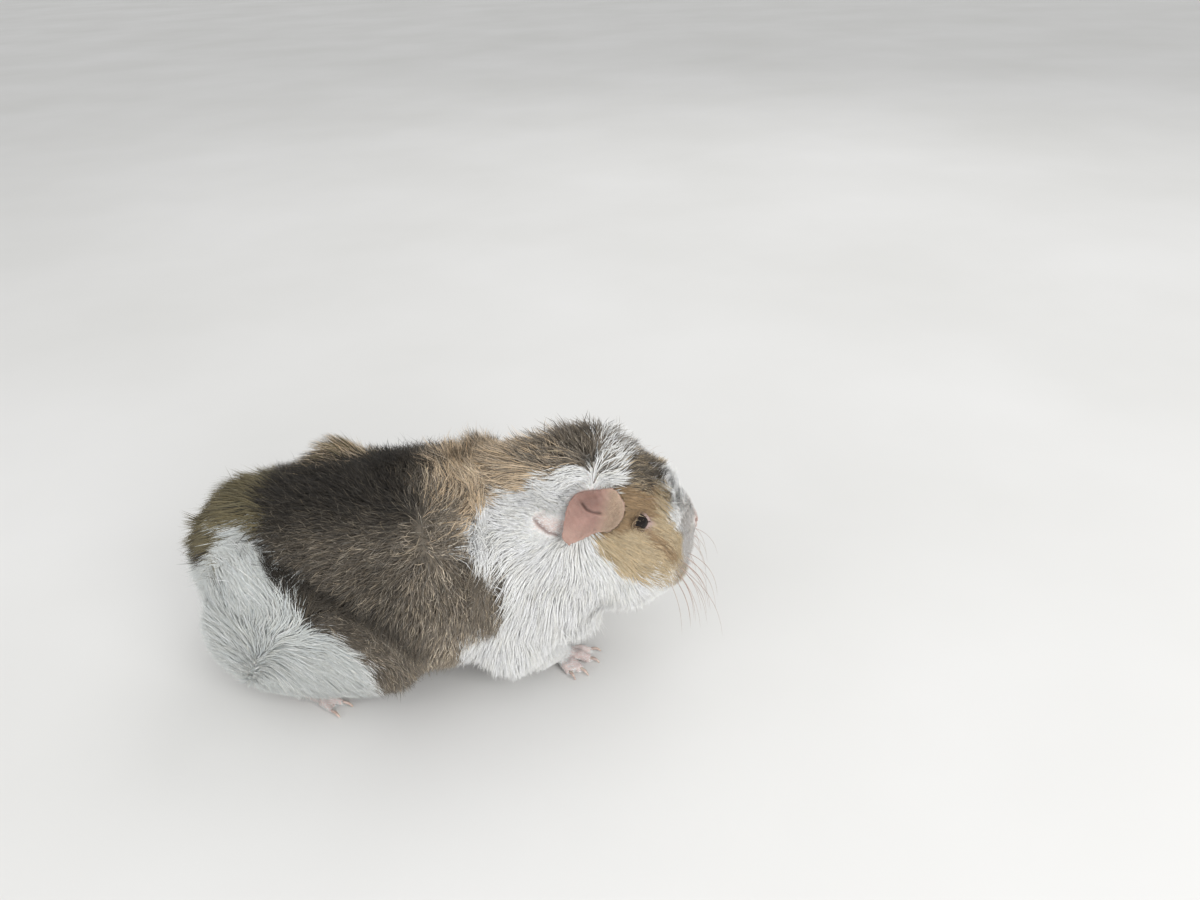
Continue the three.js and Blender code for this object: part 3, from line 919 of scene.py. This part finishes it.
# the skin is painted darker along the valley between flank and thigh: painted shade
tint = plain * (0.75 + 0.2 * (plain[:, 1:2] > 0.5)) * (1 - 0.45 * valley(s_outer))[:, None]
tint = blend(tint, np.maximum(s_region[:, 4], smoothstep(s_region[:, 3], 0.3, 0.7)),
             PINK * (1 - 0.10 * ripple(s_outer, 9, 21)[:, None]))
patch, to_fold = bare_patch(s_outer)
tint = blend(tint, 0.9 * patch, linear(198, 180, 174))
# a dark line along the fold under the bare patch: painted shade
tint = blend(tint, 0.85 * bell(to_fold, 0.9), linear(112, 92, 88))
to_nostril, to_cleft, to_mouth = muzzle_marks(sv)
pad = np.exp(-((sv[:, 1] / 6.4) ** 2 + ((sv[:, 2] - 73.2) / 5.2) ** 2) ** 2)
tint = blend(tint, pad * (sv[:, 0] > 112), PAD_PINK)
tint = blend(tint, 0.8 * bell(to_mouth, 1.6), linear(214, 184, 174))
# the nostrils, the cleft under the nose and the mouth line are painted dark: painted shade in their dents
for off, wide, colour in ((to_nostril, 0.75, linear(84, 54, 50)), (to_cleft, 0.5, linear(168, 132, 124)),
                          (to_mouth, 0.5, linear(146, 112, 104))):
    tint = blend(tint, bell(off, wide), colour)
for s in SIDES.values():
    u, w, _ = ear_plane(sv, s)
    high, bowl, d, edge = folds(u, w)
    part = smoothstep(s_region[:, 4], 0.3, 0.7) * (sv[:, 1] * s > 0)
    flap = smoothstep(u - 0.25 * w, 0.2, 7.0)
    # the ear's bowl, its crease and its rim are painted darker: painted shade of the ear's folds
    c = EAR_PINK * (1 - 0.22 * bowl - 0.5 * bell(d, 0.7) - 0.10 * ripple(sv, 7, 44))[:, None]
    c = blend(c, 0.4 * smoothstep(-w, 2, 9), linear(178, 152, 138))
    c = blend(c, 0.75 * flap, linear(184, 160, 140))
    c = blend(c, 0.5 * smoothstep(edge, 1.2, 0.2), linear(150, 118, 108))
    tint = blend(tint, part, c)
for axes in eye_axes.values():
    r = sv - axes[0]
    ahead = ahead_of_eye(sv, axes)[:, None]
    near_eye = bell(row_length(r) - EYE_RADIUS, 1.2 + 1.4 * ahead[:, 0])
    tint = blend(tint, 0.85 * near_eye, linear(84, 66, 56) * (1 - ahead) + linear(170, 148, 145) * ahead)
write_colour(thin, tint)
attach(skin, "root")
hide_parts(*FLESH)

# ---------------------------------------------------------------- the coat
surface = BVHTree.FromPolygons(sv.tolist(), st.tolist())


def nearest(p):
    """For each point: the skin point nearest to it, and its triangle."""
    found = [surface.find_nearest(q) for q in p.tolist()]
    return np.array([f[0] for f in found]), np.array([f[2] for f in found])


def smooth_at(values, face, p):
    """values at the skin's corners, shared out by nearness over the triangle the point lies in."""
    tri = st[face]
    d = np.stack([row_length(p - sv[tri[:, k]]) for k in range(3)], 1)
    w = 1 / (d + 0.05)
    w = w / w.sum(1, keepdims=True)
    return (values[tri] * w[..., None]).sum(1)


ROOM = np.array([list(c) for c in cad_box], float) / MM + np.array([[-2.5, -2.5, 0.5], [2.5, 2.5, 3.0]])


def grow(root, face, long, lift, loose):
    """Strands of four points each from the roots: they leave the skin at a slope, then lie along it at
    the coat's depth."""
    n = unit(smooth_at(s_normal, face, root))
    reg = smooth_at(s_region, face, root)
    deep = smooth_at(s_depth[:, None], face, root)[:, 0]
    sunk = valley(root)
    stand = np.maximum(standing(root), 0.55 * at_whorl(root))
    points = [root - 0.35 * n * np.minimum(1, long / 4)[:, None]]
    p, q, height, before = root, root, np.zeros(len(root)), None
    share = [0.42, 0.80, 1.0]
    for k in range(3):
        f = round_the_eye(lie(q, n, reg), q, n)
        f = f + loose * (1 + 0.6 * k)
        f = f - (f * n).sum(1, keepdims=True) * n
        size = row_length(f)
        f = f / np.maximum(size, 1e-6)[:, None]
        up = np.clip(np.maximum(stand, (0.85 - 0.4 * reg[:, 1]) * (1 - size)), 0, 1)
        seg = long / 3
        goal = ((1 - up) * np.maximum(deep - 4.5 * sunk, 0.14 * long) * share[k] * lift
                + up * seg * (k + 1) * 0.9)
        rise = np.clip((goal - height) / seg, -0.35, 0.96)
        step = unit(f * np.sqrt(1 - rise ** 2)[:, None] + n * rise[:, None])
        if before is not None:
            step = unit(step + (0.45 if k == 1 else 0.9) * before)
        sag = smoothstep(long, 6, 20) * 0.10 * (1 - up)
        step = unit(step - sag[:, None] * vec(0, 0, 1))
        p = p + step * seg[:, None]
        before = step
        q, face = nearest(p)
        n = unit(smooth_at(s_normal, face, q))
        reg = smooth_at(s_region, face, q)
        height = ((p - q) * n).sum(1)
        low = 0.25 + 0.12 * (k + 1)
        short = np.maximum(low * np.minimum(1, long / 6) - height, 0)
        p = p + n * short[:, None]
        height = height + short
        under = np.maximum(0.9 - p[:, 2], 0)[:, None]      # tips that reach the floor spread out over it
        p = p + under * (vec(0, 0, 1) + 0.9 * unit(n * vec(1, 1, 0) + 1e-6))
        p = np.clip(p, ROOM[0], ROOM[1])
        points.append(p)
        if k == 1:
            over_skin = n
    return np.stack(points, 1), over_skin


def scattered(per_mm2, limit):
    """Roots over the skin: triangles picked by area times the wanted number for each square millimetre."""
    a, b, c = sv[st[:, 0]], sv[st[:, 1]], sv[st[:, 2]]
    area = row_length(np.cross(b - a, c - a)) / 2
    want = area * per_mm2
    total = min(int(want.sum()), limit)
    run = np.cumsum(want)
    spots = (np.arange(total) + RNG.random(total)) / total * run[-1]
    face = np.searchsorted(run, spots)
    face = np.clip(face, 0, len(st) - 1)
    r1, r2 = np.sqrt(RNG.random(total)), RNG.random(total)
    w = np.stack([1 - r1, r1 * (1 - r2), r1 * r2], 1)
    root = w[:, :1] * a[face] + w[:, 1:2] * b[face] + w[:, 2:] * c[face]
    place = (tri_uv[face] * w[..., None]).sum(1)
    return root, face, place


tri_len = s_length[st].mean(1)
tri_out = s_outer[st].mean(1)
tri_bare = s_region[st].mean(1)
per = np.interp(tri_len, [0, 2, 4, 4.5, 9, 14, 30], [6.0, 7.0, 6.5, 3.5, 2.4, 1.95, 1.95])
per = (per * (1 - 0.8 * tri_bare[:, 4] * (1 - ear_front(sv)[st].mean(1)))
       * (1 - 0.6 * smoothstep(tri_bare[:, 3], 0.5, 0.9)))
under = smoothstep(-s_normal[st].mean(1)[:, 2], 0.75, 0.95) * smoothstep(tri_out[:, 2], 25, 15)
per = per * (1 - 0.6 * under)
tri_at = sv[st].mean(1)
tri_patch, tri_fold = bare_patch(tri_out)
per = per * (1 - 0.75 * tri_patch) * smoothstep(tri_fold, 0.5, 1.2)
tri_nostril, tri_cleft, tri_mouth = muzzle_marks(tri_at)
per = (per * (0.08 + 0.92 * smoothstep(tri_nostril, 1.0, 3.0)) * smoothstep(tri_mouth, 0.3, 0.8)
       * smoothstep(tri_cleft, 0.2, 0.7))
lid_edge = np.minimum(*[almond_edge(sv, a) for a in eye_axes.values()])[st].mean(1)
rim = np.max([ahead_of_eye(tri_at, a) * (row_length(tri_at - a[0]) < 9) for a in eye_axes.values()], 0)
per = per * smoothstep(lid_edge, 0.3 + 1.1 * rim, 0.6 + 2.2 * rim)
root, face, place = scattered(per, HAIRS)
n_hair = len(root)
long = smooth_at(s_length[:, None], face, root)[:, 0] * RNG.uniform(0.72, 1.12, n_hair)
long = np.minimum(long, 3.5 + 0.8 * np.maximum(root[:, 2], 0))      # hair near the floor hardly reaches it
ear_share = smooth_at(s_region, face, root)[:, 4]
joint = (ear_share > 0.1) & (ear_share < 0.6) & (root[:, 2] > 94)
long[joint] = np.minimum(long[joint], RNG.uniform(3, 5.5, joint.sum()))
down = ear_front(root) * smoothstep(ear_share, 0.5, 0.8)
long *= 1 + 1.0 * down
lift = RNG.uniform(0.55, 1.12, n_hair)
flyaway = RNG.random(n_hair) < 0.05
lift[flyaway] *= 1.35
# over the feet the hair lies flat, so that they show
for at, reach in ((vec(-60, 50, 9), 15), (vec(52, 30, 14), 12)):
    flat = bell(row_length(root - at * np.stack([1 + 0 * long, np.sign(root[:, 1]), 1 + 0 * long], 1)),
                reach)
    lift *= 1 - 0.5 * flat
    long *= 1 - 0.25 * flat
brown = marking_and_shade(smooth_at(s_outer, face, root))[0][:, BROWN:]
# in the brown coat many short straight hairs stand through the others, so that it looks flecked
fleck = (RNG.random(n_hair) < 0.46) & (brown[:, 0] > 0.5) & (long > 8)
long[fleck] *= 0.58
lift[fleck] = RNG.uniform(0.9, 1.25, fleck.sum())
calm_hair = smoothstep(long, 3, 9)[:, None]
loose = RNG.normal(0, 1, (n_hair, 3)) * (0.06 + 0.04 * calm_hair + 0.13 * brown + 0.2 * fleck[:, None])
loose[flyaway] *= 2.5
waves = np.stack([ripple(root, 12, 31), ripple(root, 12, 32), ripple(root, 12, 33)], 1)
loose = loose + (0.06 + 0.15 * calm_hair) * waves
strand, over_skin = grow(root, face, long, lift, loose)
facing = unit(0.3 * smooth_at(s_normal, face, root) + 0.7 * over_skin)
foot_share = smoothstep(smooth_at(s_region, face, root)[:, 3:4], 0.3, 0.7)
facing = unit(facing + 0.9 * foot_share * vec(0, 0, 1))
outward = np.stack([0 * long, 0.5 * np.sign(root[:, 1]), 0.8 + 0 * long], 1)
facing[joint] = unit(0.5 * facing + outward)[joint]

shares0 = marking_and_shade(strand[:, 2])[0]
# locks: strands draw towards the nearest guide as they go out, so that the coat breaks into points
brush = bell(row_length((root - vec(110, 0, 93)) * vec(1, 0.6, 1)), 10)     # the blaze's upper part
guides = np.where((RNG.random(n_hair) < np.interp(long, [2, 6, 12, 22], [0.12, 0.10, 0.055, 0.035])
                   * (1 - 0.6 * brush)) & ~flyaway & ~fleck)[0]
tree = KDTree(len(guides))
for k, p in enumerate(root[guides]):
    tree.insert(p, k)
tree.balance()
mine = guides[np.array([tree.find(p)[1] for p in root.tolist()])]
pull = np.interp(long, [1.5, 4, 10, 18], [0.25, 0.45, 0.6, 0.66]) * RNG.uniform(0.55, 1.15, n_hair)
pull = pull * (1 + 0.35 * smoothstep(root[:, 2], 34, 16) * smoothstep(long, 7, 12))
pull[flyaway | fleck] = 0.1
fine_coat = smoothstep(shares0[:, BROWN], 0.3, 0.8)
pull = pull * (1 - 0.5 * fine_coat) * (1 - 0.3 * (shares0[:, 0] + shares0[:, 6]))
pull = (pull + (0.85 - pull) * np.where(flyaway, 0, brush)) * (1 - 0.85 * at_whorl(root, 9))
for k, w in ((1, 0.12), (2, 0.50), (3, 0.92)):
    strand[:, k] += (w * pull)[:, None] * (strand[mine, k] - strand[:, k])

# hair from around the bare patches doesn't lie over them
over = np.max([bare_patch(strand[:, k])[0] for k in (1, 2, 3)], 0) > 0.35
long_over = over & (long > 3) & (RNG.random(n_hair) < 0.93) | joint & (brown[:, 0] > 0.2)

# colours: a strand has the marking under its outer part; agouti hair is ticked, and roots are darker,
# partly their own colour and partly painted shade
outer_part = 0.72 + 0.36 * RNG.normal(0, 1, n_hair)[mine] + 0.12 * RNG.normal(0, 1, n_hair)
outer_part = np.clip(outer_part, 0.15, 1)[:, None]
shares, light = marking_and_shade(strand[:, 1] * np.clip(1 - 2 * outer_part, 0, 1)
                        + strand[:, 2] * (1 - np.abs(2 * outer_part - 1))
                        + strand[:, 3] * np.clip(2 * outer_part - 1, 0, 1))
pick = RNG.random(n_hair)
cut = np.cumsum(shares, 1)
kind = (pick[:, None] > cut[:, :BROWN]).sum(1)
clump_tick = RNG.random(n_hair)[mine]
tick = np.where(fleck, RNG.random(n_hair), 0.6 * RNG.random(n_hair) + 0.4 * clump_tick)
base = FAWNS[kind]
is_agouti = kind == BROWN
base[is_agouti & (tick < 0.45)] = DARK
base[is_agouti & (tick > 0.76)] = TICKED
base = base * np.where(is_agouti, light, 1)[:, None]
vary = np.array([0.03, 0.10, 0.12, 0.14, 0.14, 0.04, 0.03, 0.12])[kind]
base = base * (1 + vary * (0.8 * RNG.normal(0, 1, n_hair) + 0.8 * RNG.normal(0, 1, n_hair)[mine]))[:, None]
pale = (kind == 0) | (kind == 5) | (kind == 6)
warm = RNG.normal(0, 1, n_hair) * np.where(pale, 0.012, 0.03)
base = np.clip(base * (1 + warm[:, None] * vec(1, 0, -1.6)), 0.004, 0.9)
# hair in the valley between flank and thigh is painted darker, the brown much more than the white: painted
# shade
sunk = valley(strand[:, 2])
base = base * (1 - np.where(pale, 0.1, 0.55) * sunk)[:, None]
# how light a hair is from root to tip: white, fawn, agouti, tipped agouti, frosted, flecks,
# the blaze's brush; darker roots are painted shade deep in the coat, over the agouti's own dark base, and
# the brush's dark roots painted shade between its locks
CURVES = [(0.92, 0.96, 1, 1.02), (0.72, 0.86, 1, 1.05), (0.66, 0.74, 0.95, 0.80), (0.66, 0.8, 1.3, 2.1),
          (0.6, 0.7, 1.3, 3.4), (0.6, 0.95, 2.5, 3.0), (0.45, 0.75, 1.06, 1.12)]
crest = (strand[:, 2, 0] > 48) & (strand[:, 2, 0] < 92) & (strand[:, 2, 2] > 108)
curve = np.where(pale, np.where(brush > 0.35, 6, 0), np.where(is_agouti, np.where(tick < 0.42, 3, 2), 1))
curve[is_agouti & crest & (tick < 0.4)] = 4
curve[fleck & is_agouti] = np.where(RNG.random((fleck & is_agouti).sum()) < 0.5, 5, 3)

# half of a strand's width, in millimetres
WIDTH = (np.interp(long, [1.2, 3, 6, 12, 20], [0.15, 0.165, 0.18, 0.215, 0.25])
         * RNG.uniform(0.75, 1.2, n_hair))
WIDTH[root[:, 0] > 80] *= 0.85
WIDTH[flyaway] *= 0.6
WIDTH[fleck] *= 0.72
on_ear = smooth_at(s_region, face, root)[:, 4] > 0.5
WIDTH[on_ear] = 0.09
base[on_ear] = 0.2 * linear(232, 208, 190) + 0.8 * smooth_at(tint, face, root)[on_ear]
base[on_ear] += (0.75 * down[:, None] * (linear(212, 188, 162) - base))[on_ear]
WIDTH = WIDTH * (1 - 0.15 * fine_coat)


def tufts(name, which, stops):
    """One closed mesh: each strand is a flattened three-sided spike with its own small patch of the
    OFBake map."""
    m, k = len(which), len(stops)
    low = np.floor(np.minimum(stops, 2.999)).astype(int)
    part = (np.array(stops) - low)[None, :, None]
    pts = strand[which][:, low] * (1 - part) + strand[which][:, low + 1] * part
    ahead = np.empty_like(pts)
    ahead[:, 1:-1] = pts[:, 2:] - pts[:, :-2]
    ahead[:, 0], ahead[:, -1] = pts[:, 1] - pts[:, 0], pts[:, -1] - pts[:, -2]
    ahead = unit(ahead)
    n = facing[which][:, None, :]
    side = unit(np.cross(ahead, n) + 1e-4)
    over = np.cross(side, ahead)
    at = np.array(stops) / 3
    taper = (np.interp(at, [0, 0.35, 0.7, 1], [0.85, 1.0, 0.75, 0])[None, :, None]
             * WIDTH[which][:, None, None])
    ring = np.stack([pts - side * taper - over * taper * 0.2, pts + side * taper - over * taper * 0.2,
                     pts + over * taper * 0.4], 2)[:, :-1]
    verts = np.concatenate([ring.reshape(m, -1, 3), pts[:, -1:]], 1)
    stands = np.abs((ahead * n).sum(2, keepdims=True))
    skin_share, own = 1 - 0.75 * stands, 0.42 + 0.6 * stands
    tilt = (0.3 - 0.7 * stands) * over
    lean = unit(np.stack([skin_share * n + own * (tilt - side), skin_share * n + own * (tilt + side),
                          skin_share * n + own * over], 2))[:, :-1]
    normals = np.concatenate([lean.reshape(m, -1, 3), unit(skin_share * n + own * over)[:, -1:]], 1)
    shade_at = np.array([np.interp(at, [0, 0.33, 0.67, 1], c) for c in CURVES])[curve[which]]
    tone = base[which][:, None, :] * shade_at[..., None]
    rgb = np.concatenate([np.repeat(tone[:, :-1], 3, axis=1), tone[:, -1:]], 1)
    faces, spots = [(0, 1, 2)], [((0, 0), (1, 0), (0.5, 0.1))]
    for r in range(k - 2):
        for a in range(3):
            b = (a + 1) % 3
            i, j = 3 * r, 3 * r + 3
            u0, u1 = a / 3, (a + 1) / 3
            faces += [(i + a, j + a, j + b), (i + a, j + b, i + b)]
            spots += [((u0, at[r]), (u0, at[r + 1]), (u1, at[r + 1])),
                      ((u0, at[r]), (u1, at[r + 1]), (u1, at[r]))]
    last, tip = 3 * (k - 2), 3 * (k - 1)
    for a in range(3):
        faces.append((last + a, tip, last + (a + 1) % 3))
        spots.append(((a / 3, at[k - 2]), ((a + 0.5) / 3, 1), ((a + 1) / 3, at[k - 2])))
    faces, spots = np.array(faces), np.array(spots, float)
    all_faces = (faces[None] + (np.arange(m) * verts.shape[1])[:, None, None]).reshape(-1, 3)
    me = new_mesh(name, verts.reshape(-1, 3), all_faces)
    where = place[which][:, None, None, :] + (spots[None] - 0.5) * 0.003
    me.uv_layers.new(name="OFBake").data.foreach_set("uv", np.clip(where, 0, 1).astype(np.float32).ravel())
    write_colour(me, rgb.reshape(-1, 3))
    me.normals_split_custom_set_from_vertices(normals.reshape(-1, 3).tolist())
    o = new_object(name, me, HAIR)
    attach(o, "root")


reg_main = np.argmax(smooth_at(s_region, face, root), 1)
x = root[:, 0]
zone = np.where((reg_main == 0) & (x > 78) | (reg_main == 4), 2, np.where((reg_main == 0) & (x < 38), 0, 1))
MAKES = (("long", (0, 1, 2, 3), 12400), ("mid", (0, 1.4, 3), 19900), ("short", (0, 3), 49000),
         ("fleck", (0, 2.1, 3), 19900))
make = np.where(long < 4.2, 2, np.where(fleck, 3, np.where((long > 15) & (root[:, 2] > 104), 0, 1)))
make[long_over] = -1
ZONES = (("trunk", "coat_agouti"), ("limbs", "coat_white"), ("head", "coat_cream"))
for z_id, (word, slot) in enumerate(ZONES):
    for m_id, (kind_word, stops, size) in enumerate(MAKES):
        which = np.where((zone == z_id) & (make == m_id))[0]
        which = which[np.argsort(root[which, 0], kind="stable")]
        for k in range(0, len(which), size):
            tufts(f"coat_{word}_{kind_word}_{k // size + 1}", which[k:k + size], stops)

# ---------------------------------------------------------------- eyes
EYE_LOOK = eye_material()
for word, s in SIDES.items():
    c, out, along, up = eye_axes[s]
    v2, t2 = ball(vec(0, 0, 0), 1.0, 40, 56)
    bulge = 1 + 0.05 * smoothstep(v2[:, 2], 0.72, 0.98)
    basis = np.stack([along, np.cross(out, along), out], 1)
    me = new_mesh(f"eyeball_{word}", (v2 * bulge[:, None] * EYE_RADIUS) @ basis.T + c, t2)
    o = new_object(f"eyeball_{word}", me, EYE_LOOK)
    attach(o, "root")
    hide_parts(f"eye_{word}")

# ---------------------------------------------------------------- whiskers and lashes: thin tapered tubes


def tubes(name, lines, radii, material, sides=5):
    verts, faces = [], []
    for line, radius in zip(lines, radii):
        line = np.array(line)
        ahead = unit(np.gradient(line, axis=0))
        side = unit(np.cross(ahead, vec(0.1, 0.2, 1)) + 1e-6)
        over = np.cross(side, ahead)
        turn = np.linspace(0, 2 * math.pi, sides, endpoint=False)
        start, k = len(verts), len(line)
        for r in range(k - 1):
            size = radius * (1 - 0.85 * (r / (k - 1)) ** 1.3)
            verts += list(line[r]
                          + size * (np.cos(turn)[:, None] * side[r] + np.sin(turn)[:, None] * over[r]))
        verts += [line[-1], line[0]]
        tip, foot = start + (k - 1) * sides, start + (k - 1) * sides + 1
        for r in range(k - 2):
            for a in range(sides):
                b = (a + 1) % sides
                i, j = start + r * sides, start + (r + 1) * sides
                faces += [(i + a, i + b, j + b), (i + a, j + b, j + a)]
        last = start + (k - 2) * sides
        for a in range(sides):
            b = (a + 1) % sides
            faces += [(last + a, last + b, tip), (start + b, start + a, foot)]
    o = new_object(name, new_mesh(name, np.array(verts), np.array(faces)), material)
    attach(o, "root")
    return o


def bent(start, way, long, fall, points=12, swing=0.0):
    """A hair of that length from start: it sets off along way and bends down, and a little aside."""
    way, p, out = unit(np.array(way, float)), np.array(start, float), [np.array(start, float)]
    for k in range(points - 1):
        way = unit(way + vec(0, swing, -fall) * (k + 1) / points ** 1.5)
        p = p + way * long / (points - 1)
        out.append(p)
    return np.clip(np.array(out), ROOM[0] - vec(4, 4, 0), ROOM[1] + vec(12, 4, 0))


def on_rim(axes, k, past, side):
    """On the ball at the height k of the opening, past its rear edge for side 1 and past its front one
    for -1."""
    c, out, along, up = axes
    b = half_width(k * ALMOND[0])
    rear = up * np.sign(-up[0])
    high = math.sqrt(max(1 - (ALMOND[0] * k) ** 2 - b * b, 0.05))
    return c + unit(along * ALMOND[0] * k + side * rear * (b + past) + out * high) * (EYE_RADIUS + 0.2)


WHISKER = whisker_material()
for word, s in SIDES.items():
    lines, radii = [], []
    for row in range(4):
        for k in range(4):
            at = vec(117 - 2.6 * k - 0.5 * row, (10.5 + 2.3 * k) * s, 61 - 3.6 * row + 0.6 * k)
            q, f = nearest(at[None])
            n = unit(smooth_at(s_normal, f, q))[0]
            way = n * 0.6 + vec(0.7 - 0.12 * k, 0.10 * s, -0.42 - 0.2 * row)
            long_w = RNG.uniform(22, 34) + 6 * (k > 1) + 16 * (k == 1 and row == 2)
            lines.append(bent(q[0] - n * 0.5, way, long_w, RNG.uniform(1.1, 1.9), 14,
                              RNG.uniform(-0.25, 0.35) * s))
            radii.append(RNG.uniform(0.14, 0.19))
    for k in range(3):   # stiff hairs over the eye
        q, f = nearest(vec(96 + 3 * k, 20 * s, 97 - 2 * k)[None])
        n = unit(smooth_at(s_normal, f, q))[0]
        lines.append(bent(q[0] - n * 0.5, n + vec(0.5, 0, 0.5), RNG.uniform(11, 15), 0.8))
        radii.append(0.1)
    tubes(f"whiskers_{word}", lines, radii, WHISKER)
    _, out, _, up = eye_axes[s]
    rear = up * np.sign(-up[0])
    # hair from the rear lid lies over the eye, cream and dark; a few stiff lashes stand at the front lid
    lashes, shades = [], []
    for k in np.linspace(-0.95, 0.9, 64):
        start = on_rim(eye_axes[s], k, RNG.uniform(0.08, 0.3), 1)
        ahead = RNG.random() < 0.62
        way = ((-rear + out * 0.45 if ahead else rear * 0.8 + out * 0.7) + vec(0, 0, -0.2)
               + 0.18 * RNG.normal(size=3))
        lashes.append(bent(start, way, RNG.uniform(2.0, 4.4), 0.35, 6))
        shades.append(linear(40, 28, 22) if RNG.random() < (0.25 if ahead else 0.6)
                      else (CREAM if RNG.random() < 0.6 else TAN))
    for k in RNG.uniform(-0.4, 0.8, 6):
        way = -rear * 0.5 + out * 0.9 + 0.3 * RNG.normal(size=3)
        lashes.append(bent(on_rim(eye_axes[s], k, 0.08, -1), way, RNG.uniform(0.9, 2.2), 0.3, 6))
        shades.append(linear(96, 76, 64))
    o = tubes(f"lashes_{word}", lashes, [0.11] * len(lashes), HAIR, 4)
    each = len(o.data.vertices) // len(lashes)
    write_colour(o.data, np.repeat(np.array(shades), each, axis=0))

# ---------------------------------------------------------------- claws: the solids again, rounded
HORN = claw_material()
for name in [n for n in NODES if n.startswith("claw")]:
    o = new_object("facets", new_mesh("facets", *welded(*read_mesh(NODES[name].data))), HORN)
    rounder = o.modifiers.new("rounder", "SUBSURF")
    rounder.levels = rounder.render_levels = 2
    smooth = bpy.data.meshes.new_from_object(o.evaluated_get(bpy.context.evaluated_depsgraph_get()))
    bpy.data.objects.remove(o)
    v2, t2 = read_mesh(smooth)
    bpy.data.meshes.remove(smooth)
    me = new_mesh(f"horn_{name}", v2 + CLAW_GROWTH * vertex_normals(v2, t2), t2)
    o = new_object(f"horn_{name}", me, HORN)
    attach(o, "root")
    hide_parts(name)

# ---------------------------------------------------------------- floor, light, camera
floor_m, nt, b = nodes_of("studio_floor")
n = noise(nt, 3, 4, 0.5)
shade(nt, b, "Base Color", n, linear(214, 213, 210), linear(222, 221, 219))
b.inputs["Roughness"].default_value = 0.7
b.inputs["Specular IOR Level"].default_value = 0.2
g = 14000.0     # mm, half the floor's side
corners = np.array([[-g, -g, -0.05], [g, -g, -0.05], [g, g, -0.05], [-g, g, -0.05]])
floor = new_object("studio_floor", new_mesh("studio_floor", corners, np.array([[0, 1, 2, 3]]), False),
                   floor_m)

world = bpy.data.worlds.new("studio")
bpy.context.scene.world = world
world.use_nodes = True
world.node_tree.nodes["Background"].inputs["Color"].default_value = (0.92, 0.93, 0.94, 1)
world.node_tree.nodes["Background"].inputs["Strength"].default_value = 0.8


LIT = Vector((0, 0, 0.06))     # metres: the place all the lights face


def soft_light(name, at, size, power):
    d = bpy.data.lights.new(name, "AREA")
    d.shape = "ELLIPSE"
    d.size, d.size_y = size
    d.energy = power
    o = bpy.data.objects.new(name, d)
    bpy.context.scene.collection.objects.link(o)
    o.location = at
    o.rotation_euler = (LIT - Vector(at)).to_track_quat("-Z", "Y").to_euler()
    return o


key = soft_light("key", (0.8, -1.1, 0.8), (1.0, 1.0), 15)
key.visible_glossy = False
soft_light("catch", (0.55, -1.2, 1.0), (0.16, 0.16), 0.5)
soft_light("fill", (-1.0, -0.8, 0.5), (1.2, 1.2), 4.5)
soft_light("top", (0.5, 1.0, 1.15), (1.4, 1.0), 4.5)

pitch, roll = math.radians(30.4), math.radians(2.4)
fwd = vec(0, math.cos(pitch), -math.sin(pitch))
upc = vec(0, math.sin(pitch), math.cos(pitch))
right = vec(1, 0, 0) * math.cos(roll) - upc * math.sin(roll)
down = -(upc * math.cos(roll) + vec(1, 0, 0) * math.sin(roll))
CAMERA_AT = (0.0785, -0.361, 0.325)
cam = bpy.data.cameras.new("camera")
cam.lens, cam.sensor_width = 27.15, 36
cam.clip_start = 0.02
eye = bpy.data.objects.new("camera", cam)
bpy.context.scene.collection.objects.link(eye)
eye.matrix_world = Matrix([[right[k], -down[k], -fwd[k], CAMERA_AT[k]] for k in range(3)] + [[0, 0, 0, 1]])
bpy.context.scene.camera = eye
bpy.context.scene.view_settings.view_transform = "Standard"
